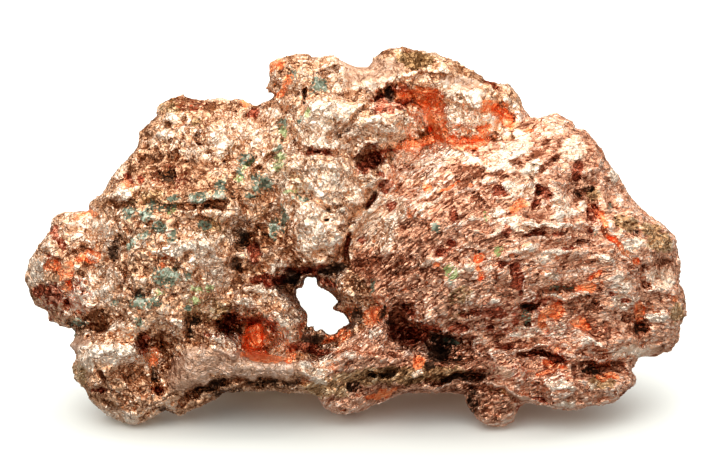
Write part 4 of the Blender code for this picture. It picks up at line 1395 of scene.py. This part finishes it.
Colour = tuple[float, float, float, float]


@dataclass(frozen=True)
class Palette:
    """One kind of surface: the colours of its dark, middling and bright crystals, which are partly their own
    tone and partly painted shade and painted glints.
    """

    dark: Colour
    middling: Colour
    bright: Colour

    def over(self, n: Nodes, share: object, under: tuple) -> tuple:
        """Lays the three colours over three others.

        Args:
            n: The node tree.
            share: How much of this one covers.
            under: The three colours beneath.

        Returns:
            The three blends.
        """
        return tuple(n.mix(share, a, b) for a, b in zip(under, (self.dark, self.middling, self.bright)))


@dataclass(frozen=True)
class NativeCopper:
    """Bare native copper: rosy fibrous metal, tan granular metal, patina and painted shade, painted glow in the
    hollows, and green stain.

    Attributes:
        granular: The tan, granular metal of the left and the head.
        fibrous: The rosy, fibrous metal of the dome.
        pale: Bright metal, worn, and painted highlights where faces catch the light.
        gild: Olive-gold tarnish.
        blush: Smooth, matte metal.
        ember: Painted orange glow of light reflected inside the hollows.
        blood: Painted dark red glow and shade, deeper in the hollows and under overhangs.
        soot: Brown-black oxide, and painted shade in pits and crevices.
        verdigris: Grey-green carbonate.
        lime: Yellow-green carbonate.
        crystal: Size of a crystal, in metres.
        speck: Size of the small crystals on it, in metres.
        shards: Crystals in a millimetre of fibrous metal, along its fibres, in depth and across.
        splinters: The same, of the small crystals on them.
        striae: The same, of the lines on them.
    """

    granular: Palette = Palette((0.24, 0.085, 0.034, 1.0), (0.82, 0.475, 0.275, 1.0), (1.0, 0.79, 0.61, 1.0))
    fibrous: Palette = Palette((0.235, 0.072, 0.034, 1.0), (0.84, 0.44, 0.27, 1.0), (1.0, 0.77, 0.61, 1.0))
    pale: Palette = Palette((0.62, 0.39, 0.25, 1.0), (1.0, 0.73, 0.53, 1.0), (1.0, 0.86, 0.70, 1.0))
    gild: Palette = Palette((0.10, 0.055, 0.018, 1.0), (0.46, 0.275, 0.10, 1.0), (0.90, 0.68, 0.38, 1.0))
    blush: Palette = Palette((0.34, 0.17, 0.10, 1.0), (0.68, 0.42, 0.275, 1.0), (0.86, 0.64, 0.50, 1.0))
    ember: Palette = Palette((0.76, 0.14, 0.035, 1.0), (1.0, 0.31, 0.115, 1.0), (1.0, 0.50, 0.27, 1.0))
    blood: Palette = Palette((0.13, 0.022, 0.010, 1.0), (0.42, 0.09, 0.042, 1.0), (0.84, 0.38, 0.24, 1.0))
    soot: Palette = Palette((0.016, 0.009, 0.006, 1.0), (0.10, 0.045, 0.025, 1.0), (0.46, 0.26, 0.17, 1.0))
    verdigris: Palette = Palette((0.03, 0.05, 0.028, 1.0), (0.11, 0.175, 0.12, 1.0), (0.46, 0.56, 0.44, 1.0))
    lime: Palette = Palette((0.06, 0.075, 0.016, 1.0), (0.25, 0.33, 0.09, 1.0), (0.66, 0.74, 0.36, 1.0))
    crystal: float = 0.0009
    speck: float = 0.00024
    shards: tuple[float, float, float] = (0.42, 0.95, 1.45)
    splinters: tuple[float, float, float] = (1.6, 3.8, 5.0)
    striae: tuple[float, float, float] = (0.22, 1.6, 2.7)

    def material(self) -> bpy.types.Material:
        """Builds the node material."""
        material = bpy.data.materials.new("native copper")
        n = Nodes(material)
        where = n.add("TexCoord").outputs["Object"]
        fibrous = n.attribute("fibrous")
        hollow = n.attribute("hollow")
        crease = n.attribute("crease")
        half = (0.5, 0.5, 0.5)
        swirl = n.add("TexNoise", Vector=where, Scale=700.0, Detail=3.0, Roughness=0.6).outputs["Color"]
        swirl = n.vector("SUBTRACT", swirl, half)
        torn = n.vector("ADD", where, n.vector("SCALE", swirl, 0.0011))
        along = n.add("Attribute", attribute_name="fibre").outputs["Vector"]
        along = n.vector("ADD", along, n.vector("SCALE", swirl, 0.9))
        shard_at, splinter_at, stria_at = (
            n.vector("MULTIPLY", along, per_mm) for per_mm in (self.shards, self.splinters, self.striae)
        )
        broad = n.noise(where, 110.0, 3.0)
        middling = n.noise(torn, 520.0, 4.0, 0.65)
        fine = n.noise(torn, 2600.0, 2.0, 0.6)

        crystals = n.vmix(fibrous, n.cells(torn, 1.0 / self.crystal), n.cells(shard_at, 1.0))
        specks = n.vmix(fibrous, n.cells(torn, 1.0 / self.speck), n.cells(splinter_at, 1.0))
        large = n.add("SeparateXYZ", Vector=crystals).outputs
        small = n.add("SeparateXYZ", Vector=specks).outputs
        gap = n.blend(fibrous, n.gaps(torn, 1.0 / self.crystal), n.gaps(shard_at, 1.0))
        vein = n.product(n.ramp(gap, 0.10, 0.02), n.ramp(broad, 0.40, 0.52))
        rift = n.product(n.ramp(n.gaps(torn, 380.0), 0.045, 0.012), n.ramp(middling, 0.36, 0.50))
        stria = n.noise(stria_at, 1.0, 2.0, 0.5)

        def share(name: str, ragged: float, keep: float = 1.0, grainy: float = 0.5) -> bpy.types.NodeSocket:
            """How much of one tint covers, with an edge torn by noise, crystal by crystal."""
            here = n.attribute(name)
            shake = n.total(n.scaled(middling, ragged), n.scaled(small[1], grainy))
            edge = n.total(here, n.product(shake, n.math("MULTIPLY", here, 2.5, clamp=True)))
            return n.ramp(edge, 0.35, 0.6, 0.0, keep)

        # painted glow in the hollows: brightened, and kept out of the painted hollow shade
        ember = share("ember", 0.7, 0.97, 0.3)
        blush = share("blush", 0.6)
        even = n.math("MAXIMUM", blush, ember)
        # painted shade: darker where the surface lies in a hollow or a crease
        hollow_shade = n.ramp(n.total(hollow, n.product(crease, 0.35)), 0.70, 1.05, 0.0, -0.4)
        # sheen picks each point's colour from dark to bright: crystal tone at random, partly painted glints and
        # shade, painted highlights on pale patches and brighter on convex edges, painted shade on umber patches
        # and in hollows
        sheen = n.total(
            0.5,
            n.product(n.math("SUBTRACT", large[0], 0.5), n.blend(fibrous, 0.46, 0.28)),
            n.scaled(small[0], 0.72),
            n.scaled(middling, 0.75),
            n.scaled(stria, 0.7, fibrous),
            n.product(n.attribute("pale"), 0.38),
            n.product(n.attribute("umber"), -0.42),
            n.product(ember, 0.18),
            n.ramp(crease, 0.5, 0.2, 0.0, 0.28),
            n.product(n.math("SUBTRACT", 1.0, ember), hollow_shade),
        )
        # soot cover: brown-black oxide and painted shade in pits, made rough
        soot = share("soot", 1.6, 0.95, 0.8)
        green = share("verdigris", 1.5, 0.9, 1.6)
        lime = share("lime", 1.5, 0.9, 1.6)
        three = (self.granular.dark, self.granular.middling, self.granular.bright)
        for palette, cover in (
            (self.fibrous, n.ramp(n.total(fibrous, n.scaled(broad, 2.0)), 0.3, 0.7)),
            (self.gild, share("gild", 1.5, 0.65)),
            (self.blush, blush),
            (self.ember, ember),
            (self.pale, share("pale", 1.1, 0.8, 0.7)),
            (self.blood, share("blood", 1.3, 0.97, 0.8)),
            (self.soot, soot),
            (self.verdigris, green),
            (self.lime, lime),
        ):
            three = palette.over(n, cover, three)
        dark, normal, bright = three
        # painted glints and shade: the bright colour where sheen is high, the dark colour where it is low
        colour = n.mix(n.ramp(sheen, 0.45, 0.0), normal, dark)
        colour = n.mix(n.ramp(sheen, 0.55, 1.0), colour, bright)
        lines = n.product(n.math("MAXIMUM", rift, n.product(vein, 0.6)), n.blend(fibrous, 0.75, 0.35))
        colour = n.mix(n.product(lines, n.blend(even, 1.0, 0.15)), colour, dark)
        dull = n.math("MAXIMUM", green, lime)

        rough = n.total(n.ramp(small[2], 0.0, 1.0, 0.12, 0.42), n.product(blush, 0.26))
        rough = n.math("MAXIMUM", rough, n.product(n.math("MAXIMUM", dull, soot), 0.6))

        keen = n.math("SUBTRACT", 1.0, n.product(even, 0.55))
        crystal_tilt, speck_tilt = (
            n.vector("SCALE", n.vector("SUBTRACT", cells, half), n.blend(fibrous, *tilts))
            for cells, tilts in ((crystals, (0.52, 0.42)), (specks, (0.60, 0.74)))
        )
        tilt = n.vector("ADD", crystal_tilt, speck_tilt)
        flat = n.add("NewGeometry").outputs["Normal"]
        faceted = n.add("VectorMath", operation="NORMALIZE")
        n.plug(faceted.inputs[0], n.vector("ADD", flat, n.vector("SCALE", tilt, keen)))
        relief = n.total(
            n.product(fine, 0.35),
            n.product(n.math("ABSOLUTE", n.math("SUBTRACT", middling, 0.5)), 3.0),
            n.product(stria, fibrous),
            n.product(vein, -0.5),
            n.product(rift, n.blend(fibrous, -1.2, -0.5)),
        )
        bump = n.add("Bump", Strength=0.75, Distance=0.00025, Height=relief, Normal=faceted.outputs[0])

        shader = n.add(
            "BsdfPrincipled",
            Base_Color=colour,
            Specular_Tint=n.mix(0.6, (1.0, 1.0, 1.0, 1.0), colour),
            Metallic=n.math("SUBTRACT", 1.0, n.product(dull, 0.9)),
            Roughness=rough,
            Normal=bump.outputs[0],
        )
        n.show("Material", shader)
        return material


@dataclass(frozen=True)
class StudioWhite:
    """The matte white floor under the nugget, which is nearly even.

    Attributes:
        colour: Its darker white.
        other: Its lighter white.
    """

    colour: Colour = (0.79, 0.82, 0.78, 1.0)
    other: Colour = (0.81, 0.84, 0.80, 1.0)

    def material(self) -> bpy.types.Material:
        """Builds the node material."""
        material = bpy.data.materials.new("studio white")
        n = Nodes(material)
        where = n.add("TexCoord").outputs["Object"]
        shade = n.ramp(n.noise(where, 9.0), 0.3, 0.7)
        colour = n.mix(shade, self.colour, self.other)
        shader = n.add("BsdfPrincipled", Base_Color=colour, Roughness=0.9)
        shader.inputs["Specular IOR Level"].default_value = 0.1
        n.show("Material", shader)
        return material


# ---------------------------------------------------------------------------------------------------------
# The nugget and its studio
# ---------------------------------------------------------------------------------------------------------


@dataclass
class Nugget:
    """The whole nugget: one skin, in parts, on the frame's one solid."""

    skin: Skin
    finish: NativeCopper

    def build(self) -> None:
        """Builds and dresses the nugget, in place of the solid."""
        copper = self.finish.material()
        for piece in self.skin.build(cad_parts["nugget"]):
            piece.data.materials.append(copper)
            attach(piece, "root")
            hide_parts("nugget")
            LOG.info("%s: %d triangles", piece.name, len(piece.data.polygons))


@dataclass
class Studio:
    """A white floor, one wide overhead softbox and a dim room.

    Attributes:
        floor_size: Side of the floor, in metres.
        floor_gap: How far it lies under the ground plane.
        box_size: Width and depth of the softbox, in metres.
        box_place: Its middle.
        box_power: In watts.
        room: How bright the room is overhead and at the floor.
        card: How much brighter the white card above the camera is.
        card_way: The direction in which it hangs.
    """

    floor_size: float = 6.0
    floor_gap: float = 0.00002
    box_size: tuple[float, float] = (0.9, 0.7)
    box_place: tuple[float, float, float] = (0.0, 0.26, 0.51)
    box_power: float = 3.3
    room: tuple[float, float] = (1.07, 0.42)
    card: float = 2.0
    card_way: tuple[float, float, float] = (-0.18, -0.66, 0.73)

    def build(self) -> None:
        """Builds the floor, the light and the room."""
        self._floor()
        self._softbox()
        self._room()

    def _floor(self) -> None:
        """The floor, just under the ground plane."""
        half = self.floor_size / 2
        mesh = bpy.data.meshes.new("floor")
        edge = [(-half, -half, 0), (half, -half, 0), (half, half, 0), (-half, half, 0)]
        mesh.from_pydata(edge, [], [(0, 1, 2, 3)])
        floor = linked("floor", mesh)
        floor.location.z = -self.floor_gap
        mesh.materials.append(StudioWhite().material())
        floor.visible_glossy = False
        LOG.info("floor: %.1f m square", self.floor_size)

    def _softbox(self) -> None:
        """The softbox, aimed at the nugget."""
        light = bpy.data.lights.new("softbox", "AREA")
        light.shape = "RECTANGLE"
        light.size, light.size_y = self.box_size
        light.energy = self.box_power
        lamp = linked("softbox", light)
        lamp.location = self.box_place
        lamp.rotation_mode = "QUATERNION"
        lamp.rotation_quaternion = (Vector(self.box_place) - Vector((0, 0, 0.02))).to_track_quat("Z", "Y")

    def _room(self) -> None:
        """The room: a soft gradient from the walls to the ceiling."""
        world = bpy.data.worlds.new("room")
        bpy.context.scene.world = world
        n = Nodes(world)
        way = n.add("TexCoord").outputs["Generated"]
        up = n.add("SeparateXYZ", Vector=way).outputs["Z"]
        card = n.vector("DOT_PRODUCT", way, self.card_way)
        level = n.ramp(up, -0.35, 0.55, self.room[1], self.room[0])
        level = n.math("ADD", level, n.ramp(card, 0.82, 0.93, 0.0, self.card))
        background = n.add("Background", Color=(1.0, 0.98, 0.96, 1.0), Strength=level)
        n.show("World", background)


@dataclass
class Portrait:
    """The camera, square to the display face.

    Attributes:
        face: The plane it looks at.
        width: How much of the face fills its width, in mm.
        sensor: Width of its sensor, in mm.
    """

    face: DisplayFace
    width: float = 85.314
    sensor: float = 36.0

    def build(self) -> bpy.types.Object:
        """Places the camera and makes it the scene's own."""
        data = bpy.data.cameras.new("portrait")
        data.sensor_width = self.sensor
        data.lens = self.sensor * self.face.distance / self.width
        data.clip_start = 0.01
        camera = linked("portrait", data)
        stand = self.face.matrix() @ Vector(self.face.aim)
        look = (self.face.matrix().to_3x3() @ Vector((0, 1, 0))).normalized()
        camera.location = stand - look * self.face.distance * MM
        camera.rotation_mode = "QUATERNION"
        camera.rotation_quaternion = look.to_track_quat("-Z", "Y")
        bpy.context.scene.camera = camera
        LOG.info("camera: %.0f mm lens at %.0f mm", data.lens, self.face.distance)
        return camera


def main() -> None:
    """Builds the nugget, its studio and the camera."""
    logging.basicConfig(level=logging.INFO, format="%(name)s: %(message)s")
    bpy.context.scene.view_settings.view_transform = "Standard"
    face = DisplayFace()
    Nugget(Skin(face), NativeCopper()).build()
    Studio().build()
    Portrait(face).build()


if __name__ == "__main__":
    main()
